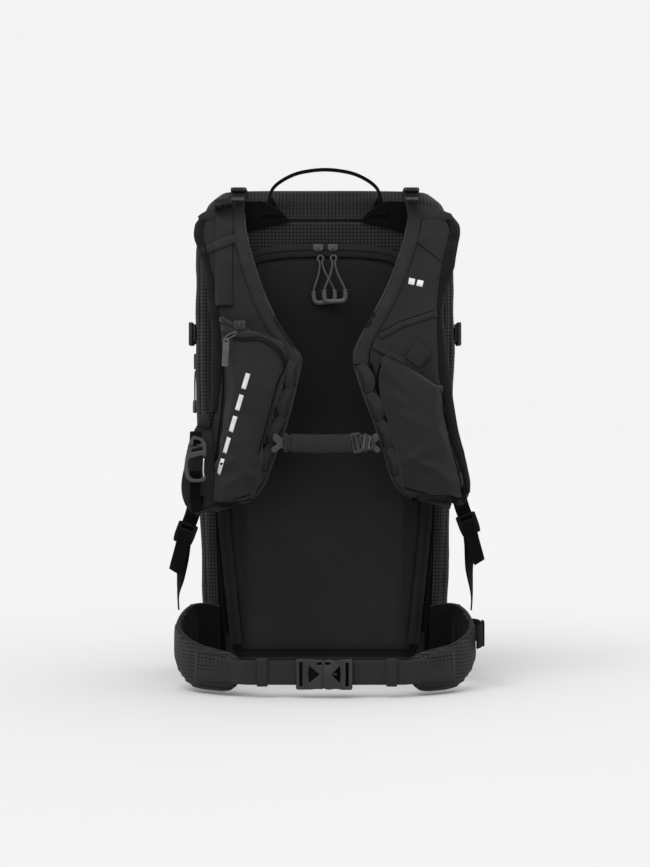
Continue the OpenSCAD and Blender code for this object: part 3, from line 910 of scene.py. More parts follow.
def drawn_in(ring, share, height):
    """A ring shrunk towards its middle by a share, and lifted."""
    middle = sum(ring, Vector()) / len(ring)
    return [p.lerp(middle, share) + Vector((0, 0, height)) for p in ring]


def bag_shell():
    heights = list(np.linspace(BASE_Z, SEAM_Z, 90))
    made = [bag_panel("back_wall", 0, heights, -1.0 * MM, 0.0, RIPSTOP),
            bag_panel("side_panel_right", 1, heights, 1.5 * MM, 2.2 * MM, RIPSTOP),
            bag_panel("front_panel", 2, heights, 7.0 * MM, 4.0 * MM, RIPSTOP),
            bag_panel("side_panel_left", 3, heights, 1.5 * MM, 2.2 * MM, RIPSTOP)]
    top = [whole_ring(z) for z in np.linspace(SEAM_Z + 0.3 * MM, TOP_Z - 0.5 * MM, 12)]
    top = [[p + Vector((0, 0, 0.8 * MM * ripple(p, 0.04))) for p in ring] for ring in top]
    crown = [drawn_in(top[-1], share, 3 * MM * math.sin(share * math.pi / 2))
             for share in np.linspace(0.08, 0.9, 9)]
    made.append(subdivide(closed_cloth("top_cloth", "top_panel", top + crown, RIPSTOP)))
    base = whole_ring(BASE_Z)
    foot = [base, drawn_in(base, 0.02, -2.5 * MM)]
    foot += [drawn_in(base, share, -BASE_Z + 0.3 * MM) for share in np.linspace(0.06, 0.9, 7)]
    made.append(subdivide(closed_cloth("base_cloth", "base_panel", foot, BLACK)))
    return made


shell = bag_shell()


def bag_seams():
    """Piping along the two far upright seams and round the top seam."""
    parts = []
    heights = np.linspace(BASE_Z + 2 * MM, SEAM_Z, 60)
    for i in (2, 3):
        path = [Vector((*bag_ring(z)[i][0], z)) for z in heights]
        parts.append(sweep(path, steady_ups(path), round_outline(1.4 * MM, 8)))
    merged("bag_piping", parts, BLACK, "pack")
    top = [sweep(whole_ring(SEAM_Z), [Vector((0, 0, 1))], round_outline(1.1 * MM, 8), closed=True)]
    merged("top_seam", top, RIPSTOP, "pack")


bag_seams()


# ---------- back door, its zip and the cloth round it ----------

def door_shape(point, normal):
    """Two upright quilted seams low down, and soft creases."""
    x, y, z = point
    if normal[1] > -0.3:
        return point
    seam = 82 * MM + 8 * MM * (z / 0.17)
    dip = 2.8 * MM * math.exp(-((abs(x) - seam) / (3.4 * MM)) ** 2) * min(max((0.30 - z) / 0.1, 0), 1)
    crown = 1.5 * MM * max(0.0, math.cos(x / (0.2))) * (abs(x) < seam)
    return np.array([x, y + dip - crown - 0.6 * MM * ripple((x, 0, z * 0.7), 0.06), z])


def flat_uv(point):
    """Cloth laid on from the front."""
    return (point[0], point[2])


door = padded("back_door", copy_of("back_panel"), "pack", BACK, ["back_panel"], voxel=4.5 * MM, pressure=2.5,
              cap=2.5 * MM, shrink=1.2 * MM, shape=door_shape, wrap=flat_uv)


def surround_shape(point, normal):
    """Small wrinkles in the cloth round the door."""
    return point + normal * 0.7 * MM * ripple(point, 0.02, 3.0)


surround = padded("back_border", copy_of("back_surround"), "pack", [BLACK, RIPSTOP, BACK], ["back_surround"],
                  voxel=2.5 * MM, pressure=0, shrink=0.2 * MM, shape=surround_shape, wrap=flat_uv,
                  pick=lambda c: 1 if c.z > 0.455 else 2 if c.z < 0.05 and abs(c.x) < 0.108 else 0)

door_tree = tree_of(door, surround)


def door_line(grow):
    """The zip's line in (x, z), up one side, over the arch and down the other, grown outwards."""
    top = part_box("back_zip")[1][2]
    edges = side_edges(node_tree("back_panel"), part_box("back_panel"), np.linspace(0.038, 0.45, 30), 0.25 * MM)
    right = [(edge[2] + grow, edge[0]) for edge in edges]
    right += [(x * MM, top - drop * MM + grow) for x, drop in ((88, 16), (74, 9), (55, 6), (25, 4), (0, 3.5))]
    line = right + [(-x, z) for x, z in reversed(right[:-1])]
    return soft_line(line, 3, 260, 10)


def back_zip():
    """The coil of the door's zip on its tape, and the raised rim outside it."""
    flap, flap_ups = laid(door_tree, door_line(4.6 * MM), 1.0 * MM)
    rim = sweep(flap, flap_ups, strap_outline(6.2 * MM, 2.2 * MM))
    merged("back_zip_rim", [rim], BACK, "pack")
    zip_run = door_line(0.2 * MM)
    points, ups = laid(door_tree, zip_run, 0.5 * MM)
    flat_points, flat_ups = laid(door_tree, door_line(-0.6 * MM), 0.5 * MM)
    flat = merged("back_zip_tape", [sweep(flat_points, flat_ups, strap_outline(13 * MM, 0.8 * MM))], BACK,
                  "pack")
    tape = merged("back_zip_coil", [sweep(points, ups, strap_outline(2.6 * MM, 1.4 * MM))], ZIP, "pack")
    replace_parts(tape, "back_zip")


back_zip()


# ---------- shoulder straps ----------

def fold_height(x, z, folds):
    """Short soft folds at (x, z), each leaning down to the right by its angle."""
    height = 0.0
    for cx, cz, lean in folds:
        across = (x - cx) * math.sin(lean) + (z - cz) * math.cos(lean)
        along = (x - cx) * math.cos(lean) - (z - cz) * math.sin(lean)
        height += math.exp(-(across / (4.0 * MM)) ** 2 - (along / (15 * MM)) ** 2)
    return height


def strap_shape(seed):
    """Creases over the front of a strap."""
    def shape(point, normal):
        if normal[1] > 0:
            return point
        x, y, z = point
        crease = 1.3 * ripple((x, y, z * 0.6), 0.045, seed) + 2.4 * fold_height(x, z, STRAP_FOLDS[seed])
        return point + normal * crease * MM
    return shape


STRAP_FOLDS = [[(-0.078, 0.396, -0.6), (-0.070, 0.412, -0.5), (-0.092, 0.452, 0.1), (-0.120, 0.498, 0.4)],
               [(0.076, 0.412, -1.0), (0.084, 0.432, -0.9), (0.098, 0.476, -0.7), (0.120, 0.500, -0.4)]]

straps, strap_trees = [], []
for number, side in enumerate(SIDES):
    node = "shoulder_strap_" + side
    strap = padded("strap_" + side, copy_of(node), "harness", STRAP, [node], voxel=4.5 * MM, pressure=4.0,
                   cap=3.5 * MM, shrink=1.5 * MM, shape=strap_shape(number), wrap=flat_uv)
    straps.append(strap)
    strap_trees.append(tree_of(strap))


class StrapEdges:
    """The outline of one shoulder strap, and the surface that things are laid on."""

    def __init__(self, number):
        self.sign = -1 if number == 0 else 1
        self.tree = strap_trees[number]
        node = "shoulder_strap_" + SIDES[number]
        low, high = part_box(node)
        levels = np.linspace(low[2] + 4 * MM, high[2] - 4 * MM, 64)
        margin = Vector((10 * MM, 0, 0))
        self.rows = side_edges(self.tree, (low - margin, high + margin), levels, 0.4 * MM)

    def line(self, inner, inset, low, high):
        """(x, z) points along the inner or outer edge, drawn in by inset."""
        line = []
        for z, left, right in self.rows:
            if low <= z <= high:
                x = (right - inset if self.sign < 0 else left + inset) if inner else (
                    left + inset if self.sign < 0 else right - inset)
                line.append((x, z))
        return soft_line(relax(line)[::3], 4, 90, 6)


edges = [StrapEdges(0), StrapEdges(1)]
LOW_Z, HIGH_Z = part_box("shoulder_strap_left")[0][2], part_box("shoulder_strap_left")[1][2]


def strap_trim(number):
    """Binding, seams and stitches on one shoulder strap, and a black line of painted shade along the edge of
    its band.
    """
    e = edges[number]
    side = SIDES[number]
    low, high = LOW_Z + 8 * MM, HIGH_Z - 9 * MM
    band = laid_strip("strap_band_" + side, e.tree, e.line(True, 8 * MM, low, high), 14 * MM,
                      lambda u, v, run: (1.0 + 0.6 * math.sin(math.pi * u)) * MM
                      + 0.25 * MM * ripple((u, v * 9, 0), 0.5),
                      POCKET, "harness", cols=9)
    parts = [laid_stitches(e.tree, e.line(True, inset, low, high), 1.9 * MM)
             for inset in (13.2 * MM, 3.0 * MM)]
    merged("strap_stitches_" + side, sum(parts, []), THREAD, "harness")
    # The first black cord, 15.4 mm in from the inner edge, is painted shade along the band's edge; the second
    # is the outer edge's piping.
    cords = [laid_cord(e.tree, e.line(True, 15.4 * MM, low, high), 0.5 * MM, 0.5 * MM),
             laid_cord(e.tree, e.line(False, 1.2 * MM, LOW_Z + 4 * MM, HIGH_Z - 8 * MM), 1.2 * MM, 0.1 * MM)]
    merged("strap_piping_and_painted_shade_" + side, cords, BLACK, "harness")


def strap_binding(number):
    """A dark binding folded over the outer edge of a strap: how far it reaches out at each height."""
    e = edges[number]
    heights = (0.205, 0.218, 0.250, 0.295, 0.338, 0.400, 0.450, 0.480, 0.497, 0.507)
    reaches = ((0, 0, 0, 3.0, 7.0, 6.0, 3.4, 5.8, 5.4, 1.5),
               (0, 3.5, 8.0, 9.0, 8.5, 3.6, 11.0, 9.5, 8.5, 3.0))[number]
    inset = (4 * MM, 1.6 * MM)[number]
    low = (0.290, 0.204)[number]
    verts, uvs = [], []
    rows = e.line(False, inset, low, HIGH_Z - 12 * MM)
    for x, z in rows:
        y = front_of(e.tree, x, z)[0].y
        reach = inset + float(np.interp(z, heights, reaches)) * MM
        for u in np.linspace(0, 1, 8):
            verts.append((x + e.sign * u * reach, y + (6 * u ** 2 - 1.2 * math.sin(math.pi * u)) * MM, z))
            uvs.append((z, u * reach))
    name = "strap_binding_" + SIDES[number]
    cloth = add_mesh(name, verts, grid_faces(len(rows), 8), BINDING, "harness", uvs)
    bevel(thicken(cloth, 2.4 * MM, 0.0), 0.8 * MM)


def strap_top(number):
    """The upper end of a strap, drawn up to a slanting seam on the bag's shoulder."""
    e = edges[number]
    z, left, right = min(e.rows, key=lambda row: abs(row[0] - 0.503))
    inner, outer = (right, left) if e.sign < 0 else (left, right)
    verts, uvs = [], []
    for v in np.linspace(0, 1, 7):
        for u in np.linspace(0, 1, 16):
            foot = inner + e.sign * MM + (outer - inner - 3 * e.sign * MM) * u
            sample = inner + e.sign * 5 * MM + (outer - inner - e.sign * 12 * MM) * u
            y = front_of(e.tree, sample, z)[0].y
            top_x, top_z = e.sign * (88 + 50 * u) * MM, (523 - 12 * u - 5.5 * u ** 6) * MM
            out = (1.4 - 2.4 * min(1.0, v * 2.5)) * MM
            verts.append((foot + (top_x - foot) * v, y + out + 0.62 * (top_z - z) * v, z + (top_z - z) * v))
            uvs.append((verts[-1][0], verts[-1][2]))
    cloth = add_mesh("strap_top_" + SIDES[number], verts, grid_faces(7, 16), STRAP, "harness", uvs)
    bevel(thicken(cloth, 3.0 * MM, 0.0), 1.0 * MM)


def ladder(number):
    """Webbing sewn down at even steps, that bulges up and inwards as a small loop between them."""
    e = edges[number]
    side = SIDES[number]
    low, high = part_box("ladder_webbing")[0][2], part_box("ladder_webbing")[1][2]
    path = np.array(even(e.line(True, 9.5 * MM, low, high), 200))
    run = run_along(path)
    step = 31 * MM
    swell = np.abs(np.sin(np.pi * run / step))
    path[:, 0] += e.sign * (swell - 0.5) * 5.6 * MM
    width = ((7.6 + 3.6 * swell) * MM)[:, None]
    rise = lambda u, v, along: (1.7 + 4.6 * swell[int(round(v * (len(path) - 1)))] ** 0.8) * MM
    strip = laid_strip("ladder_" + side, e.tree, path, width, rise, GREY_WEB, "harness", cols=6,
                       thick=1.3 * MM)
    # Painted shade: a black strip under the ladder that shows as a dark line along its outer side.
    shade = laid_strip("ladder_shade_" + side, e.tree, e.line(True, 12.4 * MM, low, high), 14 * MM,
                       1.2 * MM, BLACK, "harness", cols=4, thick=0.5 * MM)
    parts = []
    for k in range(int(run[-1] / step) + 1):
        i = min(int(np.searchsorted(run, k * step)), len(path) - 2)
        middle, along = path[i], path[i + 1] - path[i]
        along = along / np.linalg.norm(along)
        across = np.array([along[1], -along[0]])
        for shift in (-1.1 * MM, 1.1 * MM):
            row = [tuple(middle + along * (shift + 0.45 * w * MM * -e.sign) + across * w * MM)
                   for w in (-5.2, -2.6, 0, 2.6, 5.2)]
            parts.append(laid_cord(e.tree, row, 0.65 * MM, 2.5 * MM))
    merged("ladder_bars_" + side, parts, WEBBING, "harness")
    return strip


for number in (0, 1):
    strap_trim(number)
    strap_binding(number)
    strap_top(number)
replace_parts(ladder(0), "ladder_webbing")
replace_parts(ladder(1), "ladder_webbing")


# ---------- pockets on the straps ----------

MOUTH = [(0.052, 0.366), (0.062, 0.3605), (0.086, 0.349), (0.104, 0.338), (0.120, 0.327)]


def pocket_rows(number, node):
    """(z, lowest x, highest x) of a pocket. The right one ends at its slanting mouth."""
    low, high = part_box(node)
    rows = side_edges(node_tree(node), (low, high), np.linspace(low[2] + MM, high[2] - 1.5 * MM, 60),
                      0.5 * MM)
    if number == 0:
        return rows
    cut = []
    for z, left, right in rows:
        edge = float(np.interp(z, [p[1] for p in reversed(MOUTH)], [p[0] for p in reversed(MOUTH)]))
        right = min(right, edge) if z > MOUTH[-1][1] else right
        if right - left > 3 * MM:
            cut.append((z, left, right))
    return cut


def pocket_source(node, number, grow):
    """A closed slab that fills the pocket from the strap to its front skin."""
    rows = pocket_rows(number, node)
    outer = node_tree(node)
    verts = []
    cols = 16
    for z, left, right in rows:
        for layer in (0, 1):
            for k in range(cols):
                x = left + (right - left) * k / (cols - 1)
                front = front_of(outer, min(max(x, left + MM), right - MM), z)[0].y
                back = front_of(strap_trees[number], x, z)[0].y - 0.6 * MM
                share = max(math.sin(math.pi * k / (cols - 1)) ** 0.4, 0.25)
                skin = back + (min(front, back - 3 * MM) - grow - back) * share
                verts.append(Vector((x, back if layer else skin, z)))
    faces = []
    wide = cols * 2
    for i in range(len(rows) - 1):
        for j in range(cols - 1):
            a, b = i * wide + j, (i + 1) * wide + j
            faces.append((a, a + 1, b + 1, b))
            faces.append((a + cols, b + cols, b + cols + 1, a + cols + 1))
        faces.append((i * wide, (i + 1) * wide, (i + 1) * wide + cols, i * wide + cols))
        a, b = i * wide + cols - 1, (i + 1) * wide + cols - 1
        faces.append((a, a + cols, b + cols, b))
    last = (len(rows) - 1) * wide
    for j in range(cols - 1):
        faces.append((j, j + cols, j + cols + 1, j + 1))
        faces.append((last + j, last + j + 1, last + j + cols + 1, last + j + cols))
    return add_mesh("pocket_source", verts, faces, POCKET, None)


def pocket_shape(seed, folds):
    """Creases, and short folds at (x, z) that lean by an angle."""
    def shape(point, normal):
        if normal[1] > -0.1:
            return point
        x, y, z = point
        crease = ripple((x * 0.7, y, z * 1.2 + x * 0.5), 0.05, seed) * 1.8
        crease += ripple((x, y, z), 0.02, seed) * 0.6
        return point + normal * (crease + 4.0 * fold_height(x, z, folds)) * MM
    return shape


FOLDS = [[(-0.100, 0.218, -0.5), (-0.078, 0.226, 0.6), (-0.110, 0.238, -0.2)],
         [(0.068, 0.340, 1.0), (0.076, 0.326, 0.8), (0.078, 0.306, 0.7), (0.086, 0.288, 0.6),
          (0.096, 0.246, -0.4),
          (0.108, 0.236, 0.3), (0.124, 0.226, 0.6)]]
pockets, pocket_trees = [], []
for number, (node, grow) in enumerate((("handle_pocket", 3.0 * MM), ("stretch_pocket", 2.0 * MM))):
    pocket = padded(node + "_cloth", pocket_source(node, number, grow), "harness", POCKET, [node],
                    voxel=4 * MM, pressure=3.0, cap=3 * MM, shrink=1.2 * MM,
                    shape=pocket_shape(7 + number, FOLDS[number]), wrap=flat_uv)
    pockets.append(pocket)
    pocket_trees.append(tree_of(pocket, straps[number]))


def inset_line(rows, sign, inset):
    """(x, z) points up one side of a pocket, drawn in by inset: sign -1 is the low x side."""
    line = [((left + inset) if sign < 0 else (right - inset), z) for z, left, right in rows]
    return soft_line(relax(line)[::4], 4, 80, 8)


def pocket_mouth():
    """The handle pocket: its outer seam, and a zip that turns round the inner corner as a seam."""
    tree = pocket_trees[0]
    rows = pocket_rows(0, "handle_pocket")
    outer, inner = inset_line(rows, -1, 2 * MM), inset_line(rows, 1, 1.5 * MM)
    foot = [(x, rows[0][0] + 1.5 * MM) for x in np.linspace(rows[0][1] + 2 * MM, rows[0][2] - 2 * MM, 12)]
    parts = [laid_cord(tree, line, 0.9 * MM, 0.2 * MM) for line in (outer, inner[:-14], foot)]
    start, knee = outer[-1], (-0.034, 0.357)
    under = [(start[0] + 2 * MM, start[1] - 10 * MM), (start[0] + 22 * MM, start[1] - 19 * MM),
             (-0.069, 0.370)]
    bend = [(-0.052, 0.360), (-0.0455, 0.351), (-0.0435, 0.339)]
    down = [(x - 8 * MM, z) for x, z in inner if 0.225 < z < 0.325][::-12]
    seam = soft_line(under + bend + down, 8, 160, 8)
    parts.append(laid_cord(tree, seam, 0.7 * MM, 0.3 * MM))
    over = [(start[0], start[1] + 0.5 * MM), (start[0] + 40 * MM, start[1] - 17 * MM), (-0.050, 0.373), knee]
    parts.append(laid_cord(tree, soft_line(over, 8, 70, 8), 0.7 * MM, 0.3 * MM))
    merged("handle_pocket_piping", parts, BLACK, "harness")
    zip_line = seam[:76]
    coil = laid_strip("pocket_zip_coil", tree, zip_line, 3.0 * MM, 0.7 * MM, ZIP, "harness", cols=5,
                      thick=0.9 * MM)
    beside = strip_edges(seam[:150], 10.5 * MM)[1]
    flap = laid_strip("pocket_zip_flap", tree, relax(beside, 10), 6.6 * MM,
                      lambda u, v, run: (0.8 + 1.2 * math.sin(math.pi * u)) * MM, POCKET, "harness", cols=7)
    parts = laid_stitches(tree, relax(strip_edges(seam[16:], 6 * MM)[0], 8), 0.35 * MM)
    merged("handle_pocket_stitches", parts, THREAD, "harness")


def stretch_mouth():
    """The open pocket: seams, the slanting elastic mouth, the seam across the strap above it, and a black line
    of painted shade along a crease higher up.
    """
    tree = pocket_trees[1]
    rows = pocket_rows(1, "stretch_pocket")
    foot = [(x, rows[0][0] + 1.5 * MM) for x in np.linspace(rows[0][1] + 2 * MM, rows[0][2] - 2 * MM, 12)]
    side = [p for p in inset_line(rows, 1, 6 * MM) if p[1] < MOUTH[-1][1] - 4 * MM]
    parts = [laid_cord(tree, line, 0.9 * MM, 0.2 * MM)
             for line in (inset_line(rows, -1, 1.5 * MM), side, foot)]
    seam = even([(0.058, 0.377), (0.080, 0.3895), (0.118, 0.402)], 40)
    parts.append(laid_cord(tree, seam, 0.6 * MM, 0.3 * MM))
    # Painted shade: a thin black line along a diagonal crease across the strap.
    crease = even([(0.098, 0.4765), (0.112, 0.466), (0.128, 0.452)], 30)
    parts.append(laid_cord(tree, crease, 0.45 * MM, 0.2 * MM))
    merged("stretch_pocket_piping_and_painted_shade", parts, BLACK, "harness")
    fold = laid_strip("strap_seam_fold", tree, [(x + 1 * MM, z - 3.6 * MM) for x, z in seam], 6 * MM,
                      lambda u, v, run: (0.8 + 0.7 * math.sin(math.pi * u)) * MM, STRAP, "harness", cols=5)
    mouth = soft_line(MOUTH[:-1], 6, 70, 6)
    hem = laid_strip("stretch_pocket_hem", tree, [(x - MM, z - 2.4 * MM) for x, z in mouth], 5.5 * MM,
                     lambda u, v, run: (1.0 + 0.9 * math.sin(math.pi * u)) * MM
                     + 0.2 * MM * ripple((u, v * 8, 0), 0.4),
                     STRAP, "harness", cols=7, thick=1.0 * MM)
    rows = [[(x - 2 * MM, z - 6 * MM) for x, z in mouth], [(x + MM, z - 7.2 * MM) for x, z in seam]]
    parts = sum([laid_stitches(tree, row, 0.5 * MM) for row in rows], [])
    merged("stretch_pocket_stitches", parts, THREAD, "harness")


pocket_mouth()
stretch_mouth()


def print_mark(name, number, start, end, dashes, width):
    """A plain reflective trim: dashes along a line between two (x, z) points."""
    tree = pocket_trees[number]
    parts = []
    for k in range(dashes):
        a, b = (k + 0.08) / dashes, (k + 0.80) / dashes
        ends = [(start[0] + (end[0] - start[0]) * t, start[1] + (end[1] - start[1]) * t) for t in (a, b)]
        points, ups = laid(tree, even(ends, 10), 0.4 * MM)
        parts.append(sweep(points, ups, strap_outline(width, 0.3 * MM)))
    return merged(name, parts, INK, "harness")


print_mark("pocket_reflector", 0, (-0.114, 0.225), (-0.080, 0.338), 5, 5.0 * MM)
print_mark("strap_reflector", 1, (0.089, 0.434), (0.107, 0.430), 2, 7.0 * MM)


# ---------- sleeve for the cable, yokes and load lifters ----------

def cable_sleeve():
    """A ribbed tube of cloth for the release cable, held down by a slanting keeper."""
    tree = strap_trees[0]
    low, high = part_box("cable_sleeve")
    middle = (low[0] + high[0]) / 2
    line = even([(middle + 0.4 * MM, high[2] - 2 * MM), (middle + 2.4 * MM, low[2] + 1 * MM)], 90)

    def rise(u, v, run):
        tube = 4.0 * math.sin(math.pi * u) ** 0.5
        return (0.8 + tube + 0.25 * math.cos(2 * math.pi * u * 6)
                + 0.5 * ripple((u * 0.02, v * 0.1, 0), 0.04)) * MM

    sleeve = laid_strip("cable_sleeve_cloth", tree, line, 17.5 * MM, rise, STRAP, "harness", cols=31,
                        thick=0.9 * MM)
    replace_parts(sleeve, "cable_sleeve")
    lines = [laid_cord(tree, [(x + side * 9.2 * MM, z) for x, z in line], 0.5 * MM, 0.6 * MM)
             for side in (-1, 1)]
    merged("cable_sleeve_seams", lines, BLACK, "harness")
    over = tree_of(straps[0], sleeve)
    row = [(-0.131, 0.466), (-0.122, 0.470), (-0.104, 0.4775), (-0.096, 0.481)]
    keeper = laid_strip("cable_keeper", over, relax(even(row, 40), 8), 9 * MM,
                        lambda u, v, run: (0.9 + 0.4 * math.sin(math.pi * u)) * MM, POCKET, "harness",
                        cols=5, thick=1.0 * MM)


cable_sleeve()


def yoke(sign, name):
    """A black yoke of cloth that ties the top of a strap to the bag."""
    low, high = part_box("strap_yokes")
    outline = [(97, 524.5), (70, 526), (62, 523), (48, 514), (37.5, 503), (60, 498), (84, 491.5), (97, 487)]
    ring = rounded([(sign * x * MM, z * MM) for x, z in outline], 3 * MM, 3)
    plate = cut_plate(name, ring, [], low[1] + 0.2 * MM, high[1] - 0.2 * MM, BLACK, "pack", 0.6 * MM)
    return plate


yokes = [yoke(sign, "yoke_" + side) for sign, side in BOTH]
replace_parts(yokes[0], "strap_yokes")


def webbing_along(name, points, ups, width, body, material=WEBBING, thick=1.6 * MM, steps=8):
    """A strap of webbing along 3-D points. ups gives the way that its face looks at each point."""
    path = smooth(points, steps)
    faces_up = smooth(ups, steps)
    strip = sweep(path, [Vector(u) for u in faces_up], strap_outline(width, thick, 5))
    return merged(name, [strip], material, body)


def load_lifter(sign, name):
    """Webbing from the bag's top edge over the strap's upper end, blended across the harness joint."""
    low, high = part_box("load_lifters")
    x = sign * (high[0] - 8 * MM)
    y0, y1 = low[1], high[1]
    points = [(x, y1, high[2] - MM), (x, y0 + 20 * MM, high[2] - MM), (x, y0 + 2 * MM, high[2] - 3 * MM),
              (x, y0 - 12 * MM, high[2] - 9 * MM)]
    ups = [(0, 0, 1), (0, -0.2, 1), (0, -0.4, 1), (0, -0.5, 1)]
    piece = webbing_along(name, points, ups, 16 * MM, None)
    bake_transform(piece)
    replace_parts(piece, "load_lifters")


for sign, side in BOTH:
    load_lifter(sign, "lifter_webbing_" + side)


def ladder_lock(name, middle, width, height, thick, tilt, body, bars=3, side=3.2 * MM, paint=BUCKLE):
    """A flat adjuster with slots across it, tilted in its own plane."""
    c, s = math.cos(tilt), math.sin(tilt)

    def turned(ring):
        return [(middle[0] + x * c - z * s, middle[2] + x * s + z * c) for x, z in ring]

    half_w, half_h = width / 2, height / 2
    outer = turned(rounded([(-half_w * 0.9, -half_h), (half_w * 0.9, -half_h), (half_w, -half_h * 0.3),
                            (half_w, half_h), (-half_w, half_h), (-half_w, -half_h * 0.3)], 2.2 * MM, 4))
    gap = height * 0.15
    holes = []
    for k in range(bars):
        z = -half_h + height * (k + 0.62) / (bars + 0.25)
        slot = [(-half_w + side, z - gap / 2), (half_w - side, z - gap / 2), (half_w - side, z + gap / 2),
                (-half_w + side, z + gap / 2)]
        holes.append(turned(rounded(slot, 0.9 * MM, 3)))
    lock = cut_plate(name, outer, holes, middle[1] - thick / 2, middle[1] + thick / 2, paint, body,
                     0.7 * MM)
    return lock


def strap_ends():
    """The adjusters under the straps, the webbing that holds them, and the free tails."""
    low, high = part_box("ladder_locks")
    for sign, side, number in ((-1, "left", 0), (1, "right", 1)):
        x = sign * (151 if sign < 0 else 155) * MM
        z = (low[2] + 12 * MM) if sign < 0 else (high[2] - 12 * MM)
        y = (low[1] + high[1]) / 2
        lock = ladder_lock("ladder_lock_" + side, (x, y - 2.2 * MM, z), 22 * MM, 23 * MM, 3.6 * MM,
                           sign * 0.35, "harness",
                           side=4.6 * MM, paint=INNER)
        if sign < 0:
            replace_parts(lock, "ladder_locks")
        start = (x - sign * 15 * MM, z + 48 * MM)
        on_strap = front_of(strap_trees[number], start[0], start[1])[0].y - 1.4 * MM
        webbing_along("strap_end_" + side,
                      [(start[0], on_strap, start[1]), (x - sign * 12 * MM, on_strap, z + 34 * MM),
                       (x - sign * 7 * MM, y, z + 19 * MM), (x - sign * 3 * MM, y + 1.0 * MM, z + 8 * MM),
                       (x + sign * 2 * MM, y + 1.4 * MM, z - 7 * MM)],
                      [(0, -1, 0)] * 5, 16 * MM, "harness")
        tail = webbing_along("webbing_tail_" + side,
                             [(x - sign * 1 * MM, y - 1.2 * MM, z + 3 * MM),
                              (x + sign * 1 * MM, y - 4.6 * MM, z - 4 * MM),
                              (x + sign * 4 * MM, y - 5 * MM, z - 16 * MM),
                              (x + sign * 8 * MM, y - 6.5 * MM, z - 30 * MM),
                              (x + sign * 12 * MM, y - 4 * MM, z - 41 * MM)],
                             [(0, -1, 0), (0, -1, 0), (sign * 0.15, -1, 0), (sign * 0.3, -1, 0),
                              (sign * 0.55, -0.85, 0)],
                             15 * MM, "harness")
        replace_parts(tail, "webbing_tails")
        points = [(x + sign * 1.5 * MM, y + 3.6 * MM, z - 6 * MM),
                  (x + sign * 3 * MM, y + 7 * MM, z - 24 * MM),
                  (sign * 157 * MM, y + 13 * MM, z - 48 * MM), (sign * 160 * MM, -0.113, 0.097),
                  (sign * 160 * MM, -0.106, 0.080)]
        ups = [(0, -1, 0), (sign * 0.35, -0.95, 0), (sign * 0.8, -0.6, 0), (sign, -0.15, 0), (sign, -0.1, 0)]
        piece = webbing_along("lower_webbing_" + side, points, ups, 15 * MM, None, steps=10)
        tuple(points[0])
        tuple(points[-1])
        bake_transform(piece)
        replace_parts(piece, "lower_webbing")


strap_ends()


# ---------- hip belt ----------

WING_MIDDLE = Vector((-60 * MM, -170 * MM, 0))
wing_tree = node_tree("hip_wing_left")


def wing_ray(turn, z):
    """Inner and outer points of the left wing at an angle round its middle, at height z."""
    out = Vector((math.cos(turn), math.sin(turn), 0))
    start = WING_MIDDLE + Vector((0, 0, z))
    inner = wing_tree.ray_cast(start, out)[0]
    outer = wing_tree.ray_cast(start + out * 0.3, -out)[0]
    return inner, outer


def wing_uv(point):
    """Cloth wrapped round the curve of a wing."""
    turn = math.atan2(point[1] - WING_MIDDLE.y, -abs(point[0]) - WING_MIDDLE.x) % (2 * math.pi)
    return (turn * 0.092, point[2])


def wing_edge(cloth, sign, turns):
    """Points along the upper edge of a wing."""
    points = []
    for turn in turns:
        inner, outer = wing_ray(turn, 0.040)
        if inner is None or outer is None:
            continue
        middle = (inner + outer) / 2
        hit = cloth.ray_cast(Vector((sign * -middle.x, middle.y, 0.2)), Vector((0, 0, -1)))[0]
        if hit is not None:
            points.append(hit)
    return points


def hip_wing(sign, side):
    node = "hip_wing_" + side
    wing = padded("wing_" + side, copy_of(node), "pack", RIPSTOP, [node],
                  voxel=4.5 * MM, pressure=3.5, cap=3.0 * MM, shrink=1.5 * MM, wrap=wing_uv,
                  shape=lambda p, n: p + n * 0.9 * MM * ripple(p, 0.05, sign))
    wing.data.materials.append(BLACK)
    middle = Vector((sign * 60 * MM, WING_MIDDLE.y, 0))
    inner = [face.normal.xy.dot((middle - face.center).xy.normalized()) > 0.2 for face in wing.data.polygons]
    wing.data.polygons.foreach_set("material_index", [int(hidden) for hidden in inner])
    cloth = tree_of(wing)
    turns = np.linspace(math.radians(118), math.radians(251), 90)
    path = [Vector(p) for p in relax(even(relax(wing_edge(cloth, sign, turns), 14), 100), 8)]
    rim = sweep(path, [Vector((0, 0, 1))], [(a * 2.0, u * 0.9) for a, u in round_outline(1.2 * MM, 12)])
    merged("wing_binding_" + side, [rim], BACK, "pack")
    line = [(sign * x * MM, z * MM) for x, z in ((134, 27.5), (122, 27), (108, 26), (96, 24.5), (88, 23))]
    line = even(line, 40)
    width = np.interp([abs(x) for x, z in line], (88 * MM, 94 * MM, 106 * MM), (17 * MM, 27 * MM, 33 * MM))
    patch = laid_strip("wing_patch_" + side, cloth, line, width[:, None],
                       lambda u, v, run: (0.9 + 0.8 * math.sin(math.pi * u) ** 0.5) * MM, RIPSTOP, "pack",
                       cols=12)
    rim = []
    for shift in (-16, 16):
        rim += laid_stitches(cloth, [(x, z + shift * MM) for x, z in line[:26]], 1.9 * MM)
    merged("wing_stitches_" + side, rim, THREAD, "pack")
    return wing


for sign, side in BOTH:
    hip_wing(sign, side)


